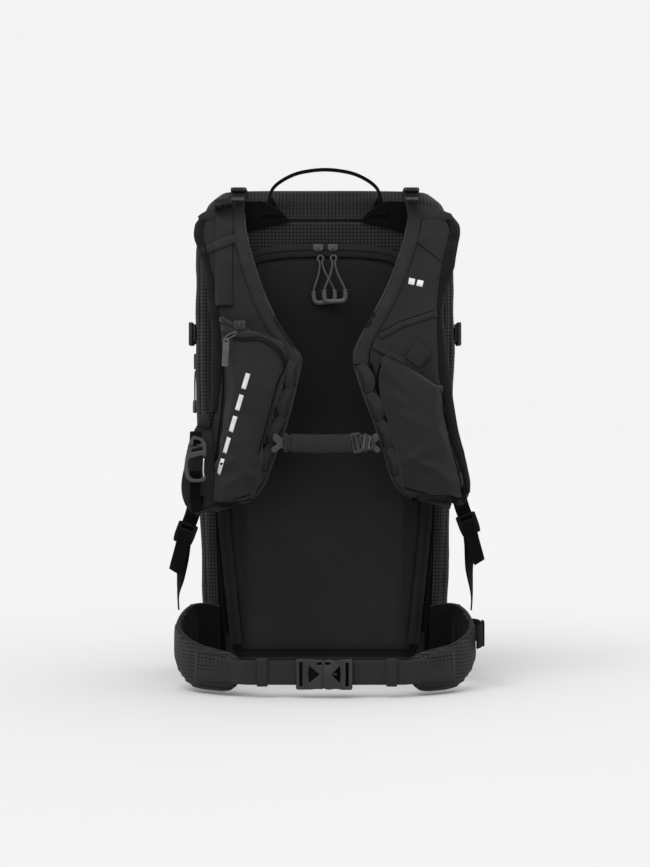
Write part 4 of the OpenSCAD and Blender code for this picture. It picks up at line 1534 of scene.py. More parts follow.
def belt_webbing():
    """The webbing from each wing to the buckle, and the stitches that hold it on the wing."""
    low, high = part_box("hip_webbing")
    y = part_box("hip_buckle_male")[0][1] + 5 * MM
    z = (low[2] + high[2]) / 2
    width = high[2] - low[2]
    wings = tree_of(bpy.data.objects["wing_left"], bpy.data.objects["wing_right"])
    made = []
    for sign, side, near in ((-1, "left", -27 * MM), (1, "right", 27 * MM)):
        on_wing = []
        for x in np.linspace(132, 96, 10):
            hit, _ = front_of(wings, sign * x * MM, z)
            on_wing.append(hit + Vector((0, -1.6 * MM, 0)))
        points = on_wing + [Vector((sign * 84 * MM, y + 2.5 * MM, z)),
                            Vector((sign * 74 * MM, y + 0.3 * MM, z)),
                            Vector((sign * 50 * MM, y, z)), Vector((near, y, z))]
        ups = [(sign * 0.3, -1, 0)] * len(on_wing) + [(0, -1, 0)] * 4
        web = webbing_along("hip_webbing_" + side, points, ups, width, "pack" if sign > 0 else None,
                            GREY_WEB, 1.8 * MM, 5)
        if sign < 0:
            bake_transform(web)
        made.append(web)
        path = [Vector(p) for p in smooth(on_wing, 6)]
        ends = sorted((on_wing[3].x, on_wing[8].x))
        parts = []
        for top, foot in ((-9 * MM, -9 * MM), (9 * MM, 9 * MM), (9 * MM, -9 * MM)):
            row = [p + Vector((0, -1.2 * MM, top + (foot - top) * i / (len(path) - 1)))
                   for i, p in enumerate(path) if ends[0] <= p.x <= ends[1]]
            parts += stitches(row, [FRONT] * len(row))
        merged("belt_stitches_" + side, parts, THREAD, "pack")
    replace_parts(made[0], "hip_webbing")


def hip_keepers():
    """The two webbing loops that hold the belt's free ends."""
    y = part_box("hip_buckle_male")[0][1] + 5 * MM
    belt_low, belt_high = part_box("hip_webbing")
    z = (belt_low[2] + belt_high[2]) / 2
    low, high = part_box("hip_keepers")
    parts = []
    for x in (low[0] + 6 * MM, high[0] - 6 * MM):
        half = (high[2] - low[2]) / 2 - 1 * MM
        deep = 2.3 * MM
        loop = rounded([(-half, -deep), (half, -deep), (half, deep), (-half, deep)], 1.6 * MM, 4)
        path = [Vector((x, y - b, z + a)) for a, b in loop]
        ups = [Vector((0, -b, a)).normalized() for a, b in loop]
        parts.append(sweep(path, ups, strap_outline(11 * MM, 1.0 * MM, 3), closed=True))
    keepers = merged("hip_keeper_loops", parts, GREY_WEB, "pack")
    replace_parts(keepers, "hip_keepers")


belt_webbing()
hip_keepers()


def ring_of(points, x0, z0, radius, flip=1):
    """An outline in millimetres from (x0, z0), with rounded corners."""
    return rounded([(x0 + flip * x * MM, z0 + z * MM) for x, z in points], radius, 4)


def hip_socket(z0):
    """The socket of the side-release buckle: a frame with two windows that the prongs show through."""
    low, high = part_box("hip_buckle_female")
    x0, y0, y1 = low[0], low[1], high[1]
    body = [(0, -14), (5, -15.5), (13, -14.4), (19, -15.5), (30, -15.5)]
    body += [(x, -z) for x, z in reversed(body)]
    window = [(8.5, 0), (17.2, -8.6), (17.8, 0), (17.2, 8.6)]
    eyelet = [(1.9, 9.4), (6.5, 9.8), (8.0, 11.2), (6.5, 12.4), (1.9, 12.6)]
    slot = [(23, -12.2), (26, -12.2), (26, 12.2), (23, 12.2)]
    face = cut_plate("hip_buckle_face", ring_of(body, x0, z0, 2.2 * MM),
                     [ring_of(h, x0, z0, 1.0 * MM) for h in (window, slot, eyelet)],
                     y0, y0 + 3.0 * MM, BUCKLE, "pack", 0.7 * MM)
    back = cut_plate("hip_buckle_back", ring_of(body, x0, z0, 2.2 * MM), [],
                     y1 - 2.4 * MM, y1, INNER, "pack", 0.6 * MM)
    sides = []
    for z in (-1, 1):
        wall = [(3, 12.2), (29.5, 12.2), (29.5, 15), (19, 15), (13, 13.6), (5, 15)]
        wall = [(x, z * across) for x, across in wall[::z]]
        sides.append(cut_plate("hip_buckle_wall", ring_of(wall, x0, z0, 0.6 * MM), [], y0 + 2.6 * MM,
                               y1 - 2 * MM, BUCKLE, "pack", 0.3 * MM))
    female = joined("hip_buckle_socket", [face, back] + sides, "pack")
    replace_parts(female, "hip_buckle_female")


def hip_plug(z0):
    """The plug: a slotted frame, two prongs with a guide between them, and a dark plate behind, painted shade
    of the recess seen through its windows.
    """
    low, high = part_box("hip_buckle_male")
    x0, y0, y1 = low[0], low[1], high[1]
    frame_ring = [(0, -15.5), (14, -15.5), (21, -14.8), (28.2, -15.2)]
    frame_ring += [(x, -z) for x, z in reversed(frame_ring)]
    eyelet = [(20.6, 10.9), (22.2, 9.8), (26.0, 9.6), (26.0, 12.2), (22.2, 12.0)]
    slot = [(3.6, -12.4), (6.6, -12.4), (6.6, 12.4), (3.6, 12.4)]
    window = [(13.6, -8.5), (24.2, 0), (13.6, 8.5), (12.4, 0)]
    plate = cut_plate("hip_buckle_frame", ring_of(frame_ring, x0, z0, 2.2 * MM),
                      [ring_of(h, x0, z0, 1.0 * MM) for h in (slot, window, eyelet)],
                      y0 + 1.0 * MM, y0 + 3.8 * MM, BUCKLE, "hip_buckle_male", 0.8 * MM)
    # Painted shade: a dark plate behind the frame, which darkens what shows through its windows.
    shade = [(1.5, -13), (27.5, -13), (27.5, 13), (1.5, 13)]
    prongs = [cut_plate("prong", ring_of(shade, x0, z0, 1.0 * MM), [], y0 + 6.4 * MM, y0 + 8.8 * MM,
                        INNER, "hip_buckle_male", 0.3 * MM)]
    for z in (-1, 1):
        prong = [(26, 9.4), (26, 6.6), (36, 6.6), (43.5, 7.6), (44.4, 9.4), (42, 11.3), (38, 11.3)]
        prong = [(x, z * across) for x, across in prong[::z]]
        prongs.append(cut_plate("prong", ring_of(prong, x0, z0, 1.0 * MM), [], y0 + 2.8 * MM, y1 - 2.8 * MM,
                                BUCKLE, "hip_buckle_male", 0.6 * MM))
    guide = [(26, -2), (42, -1.4), (42, 1.4), (26, 2)]
    prongs.append(cut_plate("prong", ring_of(guide, x0, z0, 0.8 * MM), [], y0 + 2.8 * MM, y1 - 2.8 * MM,
                            BUCKLE, "hip_buckle_male", 0.6 * MM))
    rib = [(9.2, -13), (11.2, -13), (11.2, 13), (9.2, 13)]
    prongs.append(cut_plate("prong", ring_of(rib, x0, z0, 0.8 * MM), [], y0 + 0.2 * MM, y0 + 2.2 * MM, BUCKLE,
                            "hip_buckle_male", 0.5 * MM))
    male = joined("hip_buckle_plug", [plate] + prongs, "hip_buckle_male")
    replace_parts(male, "hip_buckle_male")


buckle_low, buckle_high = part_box("hip_buckle_female")
buckle_z = (buckle_low[2] + buckle_high[2]) / 2
hip_socket(buckle_z)
hip_plug(buckle_z)


# ---------- sternum strap ----------

def prong_hook(name, x0, x1, y, z, body):
    """A hook with two arms that grip a rung of the ladder webbing: x1 is the end with the bar."""
    flip = 1 if x1 > x0 else -1
    ring = [(0, 4), (1, 9.5), (4.5, 10.5), (10.5, 5), (12.6, 6.5), (12.6, 9.5), (16, 10.5),
            (17, 8), (16, 5.5), (16, -5.5), (17, -8), (16, -10.5), (12.6, -9.5), (12.6, -6.5),
            (10.5, -5), (3, -11), (-1, -9.5), (-1, -5.5), (5.5, -1.2)]
    ring = ring if flip < 0 else ring[::-1]
    hole = [(12.2, -4.0), (12.2, 4.0), (14.2, 4.0), (14.2, -4.0)]
    hole = hole[::-1] if flip < 0 else hole
    return cut_plate(name, ring_of(ring, x0, z, 1.6 * MM, flip), [ring_of(hole, x0, z, 0.6 * MM, flip)],
                     y - 1.8 * MM, y + 1.8 * MM, HOOK, body, 0.9 * MM)


def sternum_hooks(z):
    """The hooks at the ends of the sternum strap."""
    low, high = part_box("sternum_hooks")
    y = (low[1] + high[1]) / 2
    left = prong_hook("sternum_hook_left", low[0], low[0] + 17 * MM, y, z, "harness")
    right = prong_hook("sternum_hook_right", high[0], high[0] - 17 * MM, y, z, "harness")
    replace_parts(left, "sternum_hooks")


def sternum_strap(low, high, y, z):
    """The webbing across the chest, with a gathered elastic sleeve over most of it."""
    line = [(low[0] + 6 * MM, y, z), (low[0] + 14 * MM, y - 0.6 * MM, z),
            (low[0] + 40 * MM, y - 1.4 * MM, z - 0.8 * MM),
            (low[0] + 78 * MM, y - 1.0 * MM, z - 0.4 * MM), (high[0] - 18 * MM, y, z)]
    web = webbing_along("sternum_webbing", line, [(0, -1, 0)] * 5, 17 * MM, "sternum_strap", GREY_WEB,
                        1.5 * MM)
    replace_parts(web, "sternum_strap")
    span = [Vector(p) for p in even(smooth(line[1:4], 10), 180)]
    verts, uvs = [], []
    run = 0.0
    ring = [(9.6 * MM * math.cos(t), 2.7 * MM * math.sin(t)) for t in np.linspace(0, 2 * math.pi, 17)[:-1]]
    for i, p in enumerate(span):
        run += (p - span[i - 1]).length if i else 0.0
        gather = 2 * math.pi * run / (3.3 * MM) + 2.5 * ripple((run, 0, 0), 0.012)
        swell = 1.0 + 0.06 * math.sin(gather)
        for k, (a, u) in enumerate(ring):
            verts.append(p + Vector((0, -u * swell, a * swell)))
            uvs.append((run, k * 2 * MM))
    sleeve = add_mesh("sternum_sleeve", verts, grid_faces(len(span), len(ring), closed=True), ELASTIC,
                      "sternum_strap", uvs)


def sternum_fittings(low, high, y, z):
    """The slider of the sternum strap, and the clasp at its right end with two raised bars."""
    x = low[0] + 84 * MM
    adjuster = ladder_lock("sternum_slider", (x, y - 1 * MM, z), 22 * MM, 12 * MM, 3.6 * MM,
                           math.pi / 2 + 0.18,
                         "sternum_strap", bars=2)
    x = high[0] - 15 * MM
    ring = [(-7, -7), (-3, -9), (8, -8), (10, -4), (10, 4), (8, 8), (-3, 9), (-7, 7)]
    clasp = cut_plate("sternum_clasp", ring_of(ring, x, z, 2 * MM),
                      [ring_of([(-4.5, -5.8), (-2, -5.8), (-2, 5.8), (-4.5, 5.8)], x, z, 0.8 * MM),
                       ring_of([(5, -4), (7, -3), (7, 3), (5, 4)], x, z, 0.8 * MM)],
                      y - 2.2 * MM, y + 2.2 * MM, BUCKLE, "sternum_strap", 0.8 * MM)
    bars = []
    for tilt in (-1.5, 4.5):
        bar = [(tilt - 1, -6.5), (tilt + 0.6, -6.5), (tilt + 2.4, 6.5), (tilt + 0.8, 6.5)]
        bars.append(cut_plate("clasp_bar", ring_of(bar, x, z, 0.6 * MM), [], y - 3.2 * MM, y - 1.8 * MM, TAB,
                              "sternum_strap", 0.4 * MM))
    whole = joined("sternum_clasp_bars", bars, "sternum_strap")


def sternum():
    low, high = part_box("sternum_strap")
    y, z = (low[1] + high[1]) / 2, (low[2] + high[2]) / 2
    sternum_hooks(z)
    sternum_strap(low, high, y, z)
    sternum_fittings(low, high, y, z)


sternum()


# ---------- snap hook ----------

def snap_hook():
    """The moulded hook that hangs at the left pocket."""
    low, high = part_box("snap_hook")
    x0, z0 = low[0], low[2]
    y0, y1 = low[1], high[1]
    body = [(8, 0), (17, 0), (22.5, 1.5), (24, 6.6), (20.4, 6.4), (18, 3.6), (10, 3.6), (6, 7),
            (4.2, 16), (5.2, 25), (20, 29), (20.6, 26.6), (24, 28), (24, 41), (20, 47), (10, 50),
            (5, 42), (1.5, 26), (0, 14), (2.5, 4)]
    windows = [[(7.8, 32), (19.8, 34.2), (20, 37.6), (8.6, 35.4)],
               [(9.4, 38.8), (19.2, 41.2), (16.8, 44.4), (11, 45.8)]]
    hook = cut_plate("snap_hook_body", ring_of(body, x0, z0, 1.8 * MM),
                     [ring_of(w, x0, z0, 1.2 * MM) for w in windows],
                     y0 + 0.4 * MM, y1 - 0.4 * MM, HOOK, "snap_hook", 1.0 * MM)
    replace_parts(hook, "snap_hook")


def snap_gate():
    """The bent wire that closes the hook."""
    low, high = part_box("snap_gate")
    x, y = (low[0] + high[0]) / 2, (low[1] + high[1]) / 2
    bow = [(x - 0.3 * MM, y - 1.2 * MM, low[2] + 0.4 * MM), (x - 0.9 * MM, y - 1.3 * MM, low[2] + 6 * MM),
           (x - 0.5 * MM, y - 1.2 * MM, high[2] - 3 * MM), (x, y, high[2] - 0.6 * MM),
           (x - 0.5 * MM, y + 1.2 * MM, high[2] - 3 * MM), (x - 0.9 * MM, y + 1.3 * MM, low[2] + 6 * MM),
           (x - 0.3 * MM, y + 1.2 * MM, low[2] + 0.4 * MM)]
    gate = tube_along("snap_gate_wire", bow, 0.75 * MM, WIRE, "snap_gate", 6, 8)
    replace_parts(gate, "snap_gate")


def snap_hook_base():
    """The cloth panel under the hook, which widens the lower end of the strap."""
    outer = [(129, 292), (141, 268), (149, 240), (154, 214), (150, 194), (138, 182)]
    inner = [(126, 290), (121, 266), (119, 240), (118, 214), (118, 200), (112, 190)]
    left, right = [even(smooth([(-x * MM, z * MM) for x, z in row], 5), 30) for row in (outer, inner)]
    verts, uvs = [], []
    for a, b in zip(left, right):
        inner_y = front_of(strap_trees[0], b[0], b[1])[0].y - 0.6 * MM
        for k in range(9):
            u = k / 8
            x, z = a[0] + (b[0] - a[0]) * u, a[1] + (b[1] - a[1]) * u
            verts.append((x, inner_y + 2.5 * MM * (1 - u) - 1.6 * MM * math.sin(math.pi * u), z))
            uvs.append((x, z))
    base = add_mesh("snap_hook_base", verts, grid_faces(30, 9), STRAP, "harness", uvs)
    bevel(thicken(base, 3 * MM), 0.8 * MM)


def snap_hook_ties():
    """The webbing that the hook hangs from, and the tail below it."""
    low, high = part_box("snap_hook")
    middle, y, z0 = low[0] + 12 * MM, low[1] + 3 * MM, low[2]
    strip = strap_trees[0]
    top = [(middle, y - 2.6 * MM, z0 + 38.2 * MM), (middle, y + 2.8 * MM, z0 + 43 * MM),
           (middle, y + 9 * MM, z0 + 49 * MM),
           (middle, front_of(strip, middle + 8 * MM, z0 + 52 * MM)[0].y - 0.4 * MM, z0 + 54 * MM)]
    webbing_along("snap_hook_webbing", top, [(0, -1, 0.1)] * 4, 13 * MM, "harness")
    low_end = [(middle, y + 4.4 * MM, z0 + 12 * MM), (middle - 0.5 * MM, y + 6 * MM, z0 - 2 * MM),
               (middle - 1 * MM, y + 12 * MM, z0 - 20 * MM),
               (middle - 1 * MM, front_of(strip, middle, z0 - 28 * MM)[0].y - 1.4 * MM, z0 - 33 * MM)]
    webbing_along("snap_hook_tail", low_end, [(0, -1, 0)] * 4, 12 * MM, "harness")


snap_hook()
snap_gate()
snap_hook_base()
snap_hook_ties()


# ---------- zip sliders and pulls ----------

def slider(name, node, paint):
    """A moulded zip slider: a tapered body with a bridge on top. Its body has its node's name."""
    low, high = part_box(node)
    x, z = (low[0] + high[0]) / 2, (low[2] + high[2]) / 2
    half_w, half_h = (high[0] - low[0]) / 2, (high[2] - low[2]) / 2
    ring = [(x - half_w, z - half_h * 0.5), (x - half_w * 0.3, z - half_h), (x + half_w * 0.3, z - half_h),
            (x + half_w, z - half_h * 0.5), (x + half_w, z + half_h), (x - half_w, z + half_h)]
    plate = cut_plate(name + "_plate", rounded(ring, 1.6 * MM, 4), [], high[1] - 2.6 * MM,
                      high[1] - 0.2 * MM, paint, node, 0.8 * MM)
    arch = [(x, high[1] - 2.4 * MM, z + half_h * 0.7), (x, high[1] - 4.6 * MM, z + half_h * 0.3),
            (x, high[1] - 4.8 * MM, z - half_h * 0.3), (x, high[1] - 2.6 * MM, z - half_h * 0.8)]
    path = smooth(arch, 5)
    section = [(-0.8 * MM, -1.3 * MM), (0.8 * MM, -1.3 * MM), (0.8 * MM, 1.3 * MM), (-0.8 * MM, 1.3 * MM)]
    bridge = merged(name + "_bridge", [sweep(path, [(1, 0, 0)], section)], paint, node)
    whole = joined(name, [plate, bridge], node)
    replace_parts(whole, node)
    return whole


def zip_pull(node, tilt):
    """Two cords that spread from the slider to the ends of a stiff tube bent to a U."""
    low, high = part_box(node)
    anchor = Vector((centre(node).x + math.sin(tilt) * -25 * MM, (low[1] + high[1]) / 2, high[2] - 1.2 * MM))
    down = Vector((math.sin(tilt), 0, -math.cos(tilt)))
    across = Vector((math.cos(tilt), 0, math.sin(tilt)))
    foot = (high[2] - low[2]) / MM / math.cos(tilt) - 4.2
    ends = foot - 12

    def at(u, v, out=0.0):
        return anchor + across * u * MM + down * v * MM + FRONT * out * MM

    cords = []
    for s in (-1, 1):
        path = smooth([at(0.5 * s, 0.4), at(3.2 * s, 4.0, 0.5), at(1.4 * s, 8.6, 0.3), at(2.2 * s, 15),
                       at(4.6 * s, 23, 0.2),
                       at(8.2 * s, 31, 0.2), at(10.9 * s, ends - 2), at(11.4 * s, ends + 3)], 6)
        cords.append(sweep(path, steady_ups(path), round_outline(1.15 * MM, 8)))
    loops = merged(node + "_cord", cords, CORD, node)
    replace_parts(loops, node)
    half = [(11.5, ends), (11.5, ends + 4), (11.3, foot - 4), (9.6, foot - 0.9), (5.5, foot), (0, foot)]
    half += [(-u, v) for u, v in reversed(half[:-1])]
    bend = smooth([at(u, v) for u, v in half], 8)
    tube = [sweep(bend, steady_ups(bend), round_outline(2.6 * MM, 14))]
    for s in (-1, 1):
        cuff = [at(11.5 * s, ends - 0.4), at(11.5 * s, ends + 1.2)]
        tube.append(sweep(cuff, steady_ups(cuff), round_outline(2.9 * MM, 14)))
    merged(node + "_grip", tube, TUBE, node)


for node in ("zip_slider_left", "zip_slider_right"):
    slider(node + "_body", node, TUBE)
for node, tilt in (("zip_pull_left", 6), ("zip_pull_right", 2)):
    zip_pull(node, math.radians(tilt))


def pocket_zip_ends():
    """The slider of the handle pocket, with a cord ring that holds a flat slanting tab."""
    slider("pocket_slider_body", "pocket_slider", BUCKLE)
    low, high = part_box("pocket_pull")
    y = (low[1] + high[1]) / 2 - 1.4 * MM
    top, foot = Vector((low[0] + 5.2 * MM, y, high[2] - 7 * MM)), Vector((low[0] + 3.5 * MM, y, low[2]))
    long = (top - foot).length
    lean = math.atan2(top.x - foot.x, top.z - foot.z)
    turn = Matrix.Translation(foot) @ Matrix.Rotation(lean, 4, "Y")
    ring = [(-0.0029, long), (-0.0035, long * 0.7), (-0.0032, 0), (0.0032, 0), (0.0035, long * 0.7),
            (0.0029, long)]
    hole = box_ring(-1.6 * MM, long - 4.4 * MM, 1.6 * MM, long - 2.2 * MM, 0.6 * MM)
    tab = cut_plate("pocket_pull_tab", rounded(ring[::-1], 1.2 * MM, 3), [hole], -0.8 * MM, 0.8 * MM, TAB,
                    "pocket_pull",
                    0.5 * MM, turn)
    ribs = []
    for z in np.linspace(3 * MM, 17 * MM, 8):
        ends = [turn @ Vector((x * MM, -0.75 * MM, z)) for x in (-2.4, 2.4)]
        ribs.append(sweep(ends, [(0, -1, 0)], round_outline(0.4 * MM, 6)))
    eye = Vector((high[0] - 3 * MM, y, high[2] - 1 * MM))
    loop = smooth([top + Vector((-1 * MM, -0.4 * MM, -3 * MM)), top + Vector((0, -0.8 * MM, 2 * MM)),
                   eye + Vector((-2 * MM, -0.4 * MM, 0)), eye, eye + Vector((-1.4 * MM, 0.4 * MM, -3 * MM)),
                   top + Vector((2.6 * MM, 0.2 * MM, -0.5 * MM)), top + Vector((1 * MM, 0, -3 * MM))], 6)
    ribs.append(sweep(loop, steady_ups(loop), round_outline(0.7 * MM, 8)))
    grip = merged("pocket_pull_ribs", ribs, TAB, "pocket_pull")
    whole = joined("pocket_pull_grip", [tab, grip], "pocket_pull")
    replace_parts(whole, "pocket_pull")


pocket_zip_ends()


# ---------- handle, buckles and zip on the bag ----------

def grab_handle():
    """A loop of webbing seen edge on, sewn down at each end."""
    low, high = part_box("grab_handle")
    y = (low[1] + high[1]) / 2
    rows = [(0.0, 0.0), (0.048, 0.37), (0.143, 0.67), (0.286, 0.90), (0.5, 1.0), (0.714, 0.90), (0.857, 0.67),
            (0.952, 0.37), (1.0, 0.0)]
    points = [Vector((x, y, z - 1.4 * MM)) for x, z in spread("grab_handle", rows)]
    points[0].x += 1.2 * MM
    points[-1].x -= 1.2 * MM
    path = smooth(points, 10)
    ups = [Vector((p[0], 0, p[2] - low[2] + 20 * MM)) for p in path]
    loop = merged("grab_handle_loop", [sweep(path, ups, strap_outline(15.5 * MM, 2.6 * MM, 5))], WEBBING,
                  "grab_handle")
    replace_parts(loop, "grab_handle")
    top = tree_of(bpy.data.objects["top_cloth"], bpy.data.objects["back_border"], *yokes)
    for sign, side in BOTH:
        x = sign * (high[0] - 2 * MM)
        edges_of_end = []
        for reaches in ((1.5, 5, 9), (-3, -7, -12)):
            row = [(x + sign * out * MM, low[2] + rise * MM) for out, rise in zip(reaches, (2, -8, -20))]
            edges_of_end.append(even(smooth(row, 5), 16))
        near, far = edges_of_end
        end = draped("handle_end_" + side, top, near, far, 7, lambda u, v, run: MM, BLACK, "pack", 1.4 * MM)


grab_handle()


def tilted_lock(name, middle, size, turn, body):
    """A small dark adjuster made flat at the origin and then turned into place."""
    lock = ladder_lock(name, (0, 0, 0), size[0], size[1], size[2], 0, body, 2, paint=INNER)
    lock.data.transform(Matrix.Translation(middle) @ turn)
    return lock


def lifter_locks():
    low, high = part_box("lifter_buckles")
    y, z = (low[1] + high[1]) / 2, (low[2] + high[2]) / 2
    turn = Matrix.Rotation(math.radians(-68), 4, "X")
    for sign, side in BOTH:
        x = sign * (high[0] - 11 * MM)
        lock = tilted_lock("lifter_lock_" + side, (x, y, z), (17 * MM, 13 * MM, 3.2 * MM), turn, "harness")
        if sign < 0:
            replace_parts(lock, "lifter_buckles")
        webbing_along("lifter_tail_" + side,
                      [(x, y + 3 * MM, z - 1 * MM), (x, y - 4 * MM, z - 5 * MM), (x, y - 6 * MM, z - 9 * MM),
                       (x, front_of(strap_trees[0 if sign < 0 else 1], x, z - 15 * MM)[0].y - 0.4 * MM,
                        z - 15 * MM)],
                      [(0, -0.4, 1), (0, -0.8, 0.6), (0, -1, 0.3), (0, -1, 0.2)], 14 * MM, "harness", POCKET,
                      steps=5)


lifter_locks()


def side_turn(sign, x, y, z):
    """From the plane of the back to the plane of a side, with the outer face outwards."""
    return Matrix.Translation((x, y, z)) @ Matrix.Rotation(math.radians(90 * sign), 4, "Z")


def side_surface(tree, sign, y, z):
    """How far out the bag's side is at y and z."""
    hit = tree.ray_cast(Vector((sign, y, z)), Vector((-sign, 0, 0)))[0]
    return hit.x


def compression_side(sign, side, tree):
    """One side strap: webbing on the bag and a flat hook that lifts out towards the back."""
    node = "compression_buckle_" + side
    low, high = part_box(node)
    x_out = low[0] if sign < 0 else high[0]
    y, z = (low[1] + high[1]) / 2, (low[2] + high[2]) / 2
    ring = [(-17, -12), (-8, -13), (20, -13), (20, 13), (-8, 13), (-17, 12), (-20, 6), (-20, -6)]
    holes = [[(-14, -8), (-10.5, -8), (-10.5, 8), (-14, 8)], [(8, -9), (12.5, -9), (12.5, 9), (8, 9)],
             [(-5, -4), (3.5, -6), (3.5, 6), (-5, 4)]]
    if sign > 0:
        ring = [(-u, v) for u, v in reversed(ring)]
        holes = [[(-u, v) for u, v in reversed(hole)] for hole in holes]
    hook = cut_plate("side_hook_" + side, ring_of(ring, 0, 0, 2 * MM),
                     [ring_of(hole, 0, 0, 1 * MM) for hole in holes],
                     0.6 * MM, 5.2 * MM, BUCKLE, node, 0.9 * MM, side_turn(sign, x_out, y, z))
    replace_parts(hook, node)
    low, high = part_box("compression_straps")
    web_x = x_out - sign * 3.4 * MM
    rows = []
    for share in np.linspace(0, 1, 8):
        at_y = high[1] + 2 * MM - share * (high[1] - low[1] - 2 * MM)
        rows.append((side_surface(tree, sign, at_y, z) + sign * (1.4 * MM + 1.6 * MM * share), at_y,
                     z - 1 * MM))
    rows += [(web_x, low[1] - 7 * MM, z - 0.5 * MM), (web_x - sign * 1.4 * MM, low[1] - 16 * MM, z)]
    web = webbing_along("side_webbing_" + side, rows, [(sign, 0, 0)] * len(rows), 19 * MM, "pack", steps=4)
    if sign < 0:
        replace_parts(web, "compression_straps")
    rows = []
    for at_y in (-72, -66, -60, -55):
        rows.append((side_surface(tree, sign, at_y * MM, z) + sign * 1.3 * MM, at_y * MM, z))
    rows += [(web_x - sign * 3.4 * MM, -0.046, z)]
    webbing_along("side_anchor_" + side, rows, [(sign, 0, 0)] * len(rows), 19 * MM, "pack", steps=4)


side_tree = tree_of(*shell[1:4])
for sign, side in BOTH:
    compression_side(sign, side, side_tree)


def side_zip(y):
    """The tape and the coil of the zip on the left side."""
    low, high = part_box("side_zip")
    levels = np.linspace(low[2] + MM, high[2] - MM, 40)
    path = [Vector((side_surface(side_tree, -1, y, z) - 0.7 * MM, y, z)) for z in levels]
    tape = merged("side_zip_tape", [sweep(path, [(-1, 0, 0)], strap_outline(16 * MM, 1.0 * MM))], BLACK,
                  "pack")
    coil = merged("side_zip_coil", [sweep([p + Vector((-0.6 * MM, 0, 0)) for p in path], [(-1, 0, 0)],
                                          strap_outline(4 * MM, 1.6 * MM))], ZIP, "pack")
    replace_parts(coil, "side_zip")


def side_slider(y):
    low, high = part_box("side_slider")
    z = (low[2] + high[2]) / 2
    ring = [(-2, -9), (2, -9), (4, -4), (4, 6), (2, 9), (-2, 9), (-4, 6), (-4, -4)]
    plate = cut_plate("side_slider_body", ring_of(ring, 0, 0, 1.4 * MM), [], 0.2 * MM, 3.6 * MM, HOOK,
                      "side_slider",
                      0.8 * MM, side_turn(-1, low[0], y, z))
    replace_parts(plate, "side_slider")


def side_pull(y):
    """A pull of two cords and a turned grip."""
    low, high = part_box("side_pull")
    x = (low[0] + high[0]) / 2
    top = [(x + 0.6 * MM, y - 0.9 * MM, high[2] - MM), (x, y - 1.3 * MM, high[2] - 12 * MM),
           (x, y - 0.6 * MM, low[2] + 24 * MM), (x, y, low[2] + 12 * MM)]
    other = [(px, 2 * y - py, pz) for px, py, pz in top]
    cords = []
    for line in (top, other):
        path = smooth(line, 6)
        cords.append(sweep(path, steady_ups(path), round_outline(0.8 * MM, 8)))
    cord = merged("side_pull_cord", cords, SHEATH, "side_pull")
    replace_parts(cord, "side_pull")
    path = [Vector((x, y, low[2] + k * MM)) for k in (0.3, 0.8, 2, 6, 10, 14, 15.3)]
    radii, around = (1.2, 1.9, 2.35, 2.4, 2.35, 2.2, 1.3), 16
    verts = [p + Vector((r * MM * math.cos(a), r * MM * math.sin(a), 0)) for p, r in zip(path, radii)
             for a in np.linspace(0, 2 * math.pi, around + 1)[:-1]]
    faces = grid_faces(len(path), around, closed=True)
    faces += [tuple(range(around - 1, -1, -1)), tuple(range(len(verts) - around, len(verts)))]
    grip = add_mesh("side_pull_grip", verts, faces, TUBE, "side_pull")


zip_low, zip_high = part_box("side_zip")
for piece in (side_zip, side_slider, side_pull):
    piece((zip_low[1] + zip_high[1]) / 2)


def front_zips():
    """Two upright zips on the far face of the bag."""
    low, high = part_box("front_zip")
    front_tree = tree_of(shell[2])
    parts, tapes = [], []
    for x in (low[0] + 4 * MM, high[0] - 4 * MM):
        path = []
        for z in np.linspace(low[2], high[2], 30):
            hit = front_tree.ray_cast(Vector((x, 1, z)), Vector((0, -1, 0)))[0]
            path.append(hit + Vector((0, 0.5 * MM, 0)))
        tapes.append(sweep(path, [(0, 1, 0)], strap_outline(15 * MM, 0.9 * MM)))
        parts.append(sweep([p + Vector((0, 0.8 * MM, 0)) for p in path], [(0, 1, 0)],
                           strap_outline(4 * MM, 1.5 * MM)))
    merged("front_zip_tapes", tapes, BLACK, "pack")
    coils = merged("front_zip_coils", parts, ZIP, "pack")
    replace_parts(coils, "front_zip")


front_zips()


def gear_tab():
    """A webbing loop with a small adjuster on the right wing."""
    low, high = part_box("gear_loop")
    z = (low[2] + high[2]) / 2
    points = [(low[0] + 1 * MM, low[1], z - 1 * MM), (high[0] - 2 * MM, low[1] + 12 * MM, z),
              (high[0] - 1 * MM, low[1] + 30 * MM, z + 1 * MM),
              (high[0] - 2.5 * MM, high[1] - 14 * MM, z + 2 * MM),
              (low[0] + 1 * MM, high[1], z + 2 * MM)]
    ups = [(1, -0.5, 0), (1, -0.3, 0), (1, 0, 0), (1, 0.25, 0), (1, 0.4, 0)]
    loop = webbing_along("gear_loop_webbing", points, ups, 24 * MM, "pack", steps=6)
    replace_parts(loop, "gear_loop")
    turn = Matrix.Rotation(math.radians(90), 4, "Z") @ Matrix.Rotation(math.radians(90), 4, "Y")
    middle = (high[0] + 0.6 * MM, low[1] + 30 * MM, z + MM)
    tilted_lock("gear_loop_lock", middle, (28 * MM, 14 * MM, 3 * MM), turn, "pack")


gear_tab()


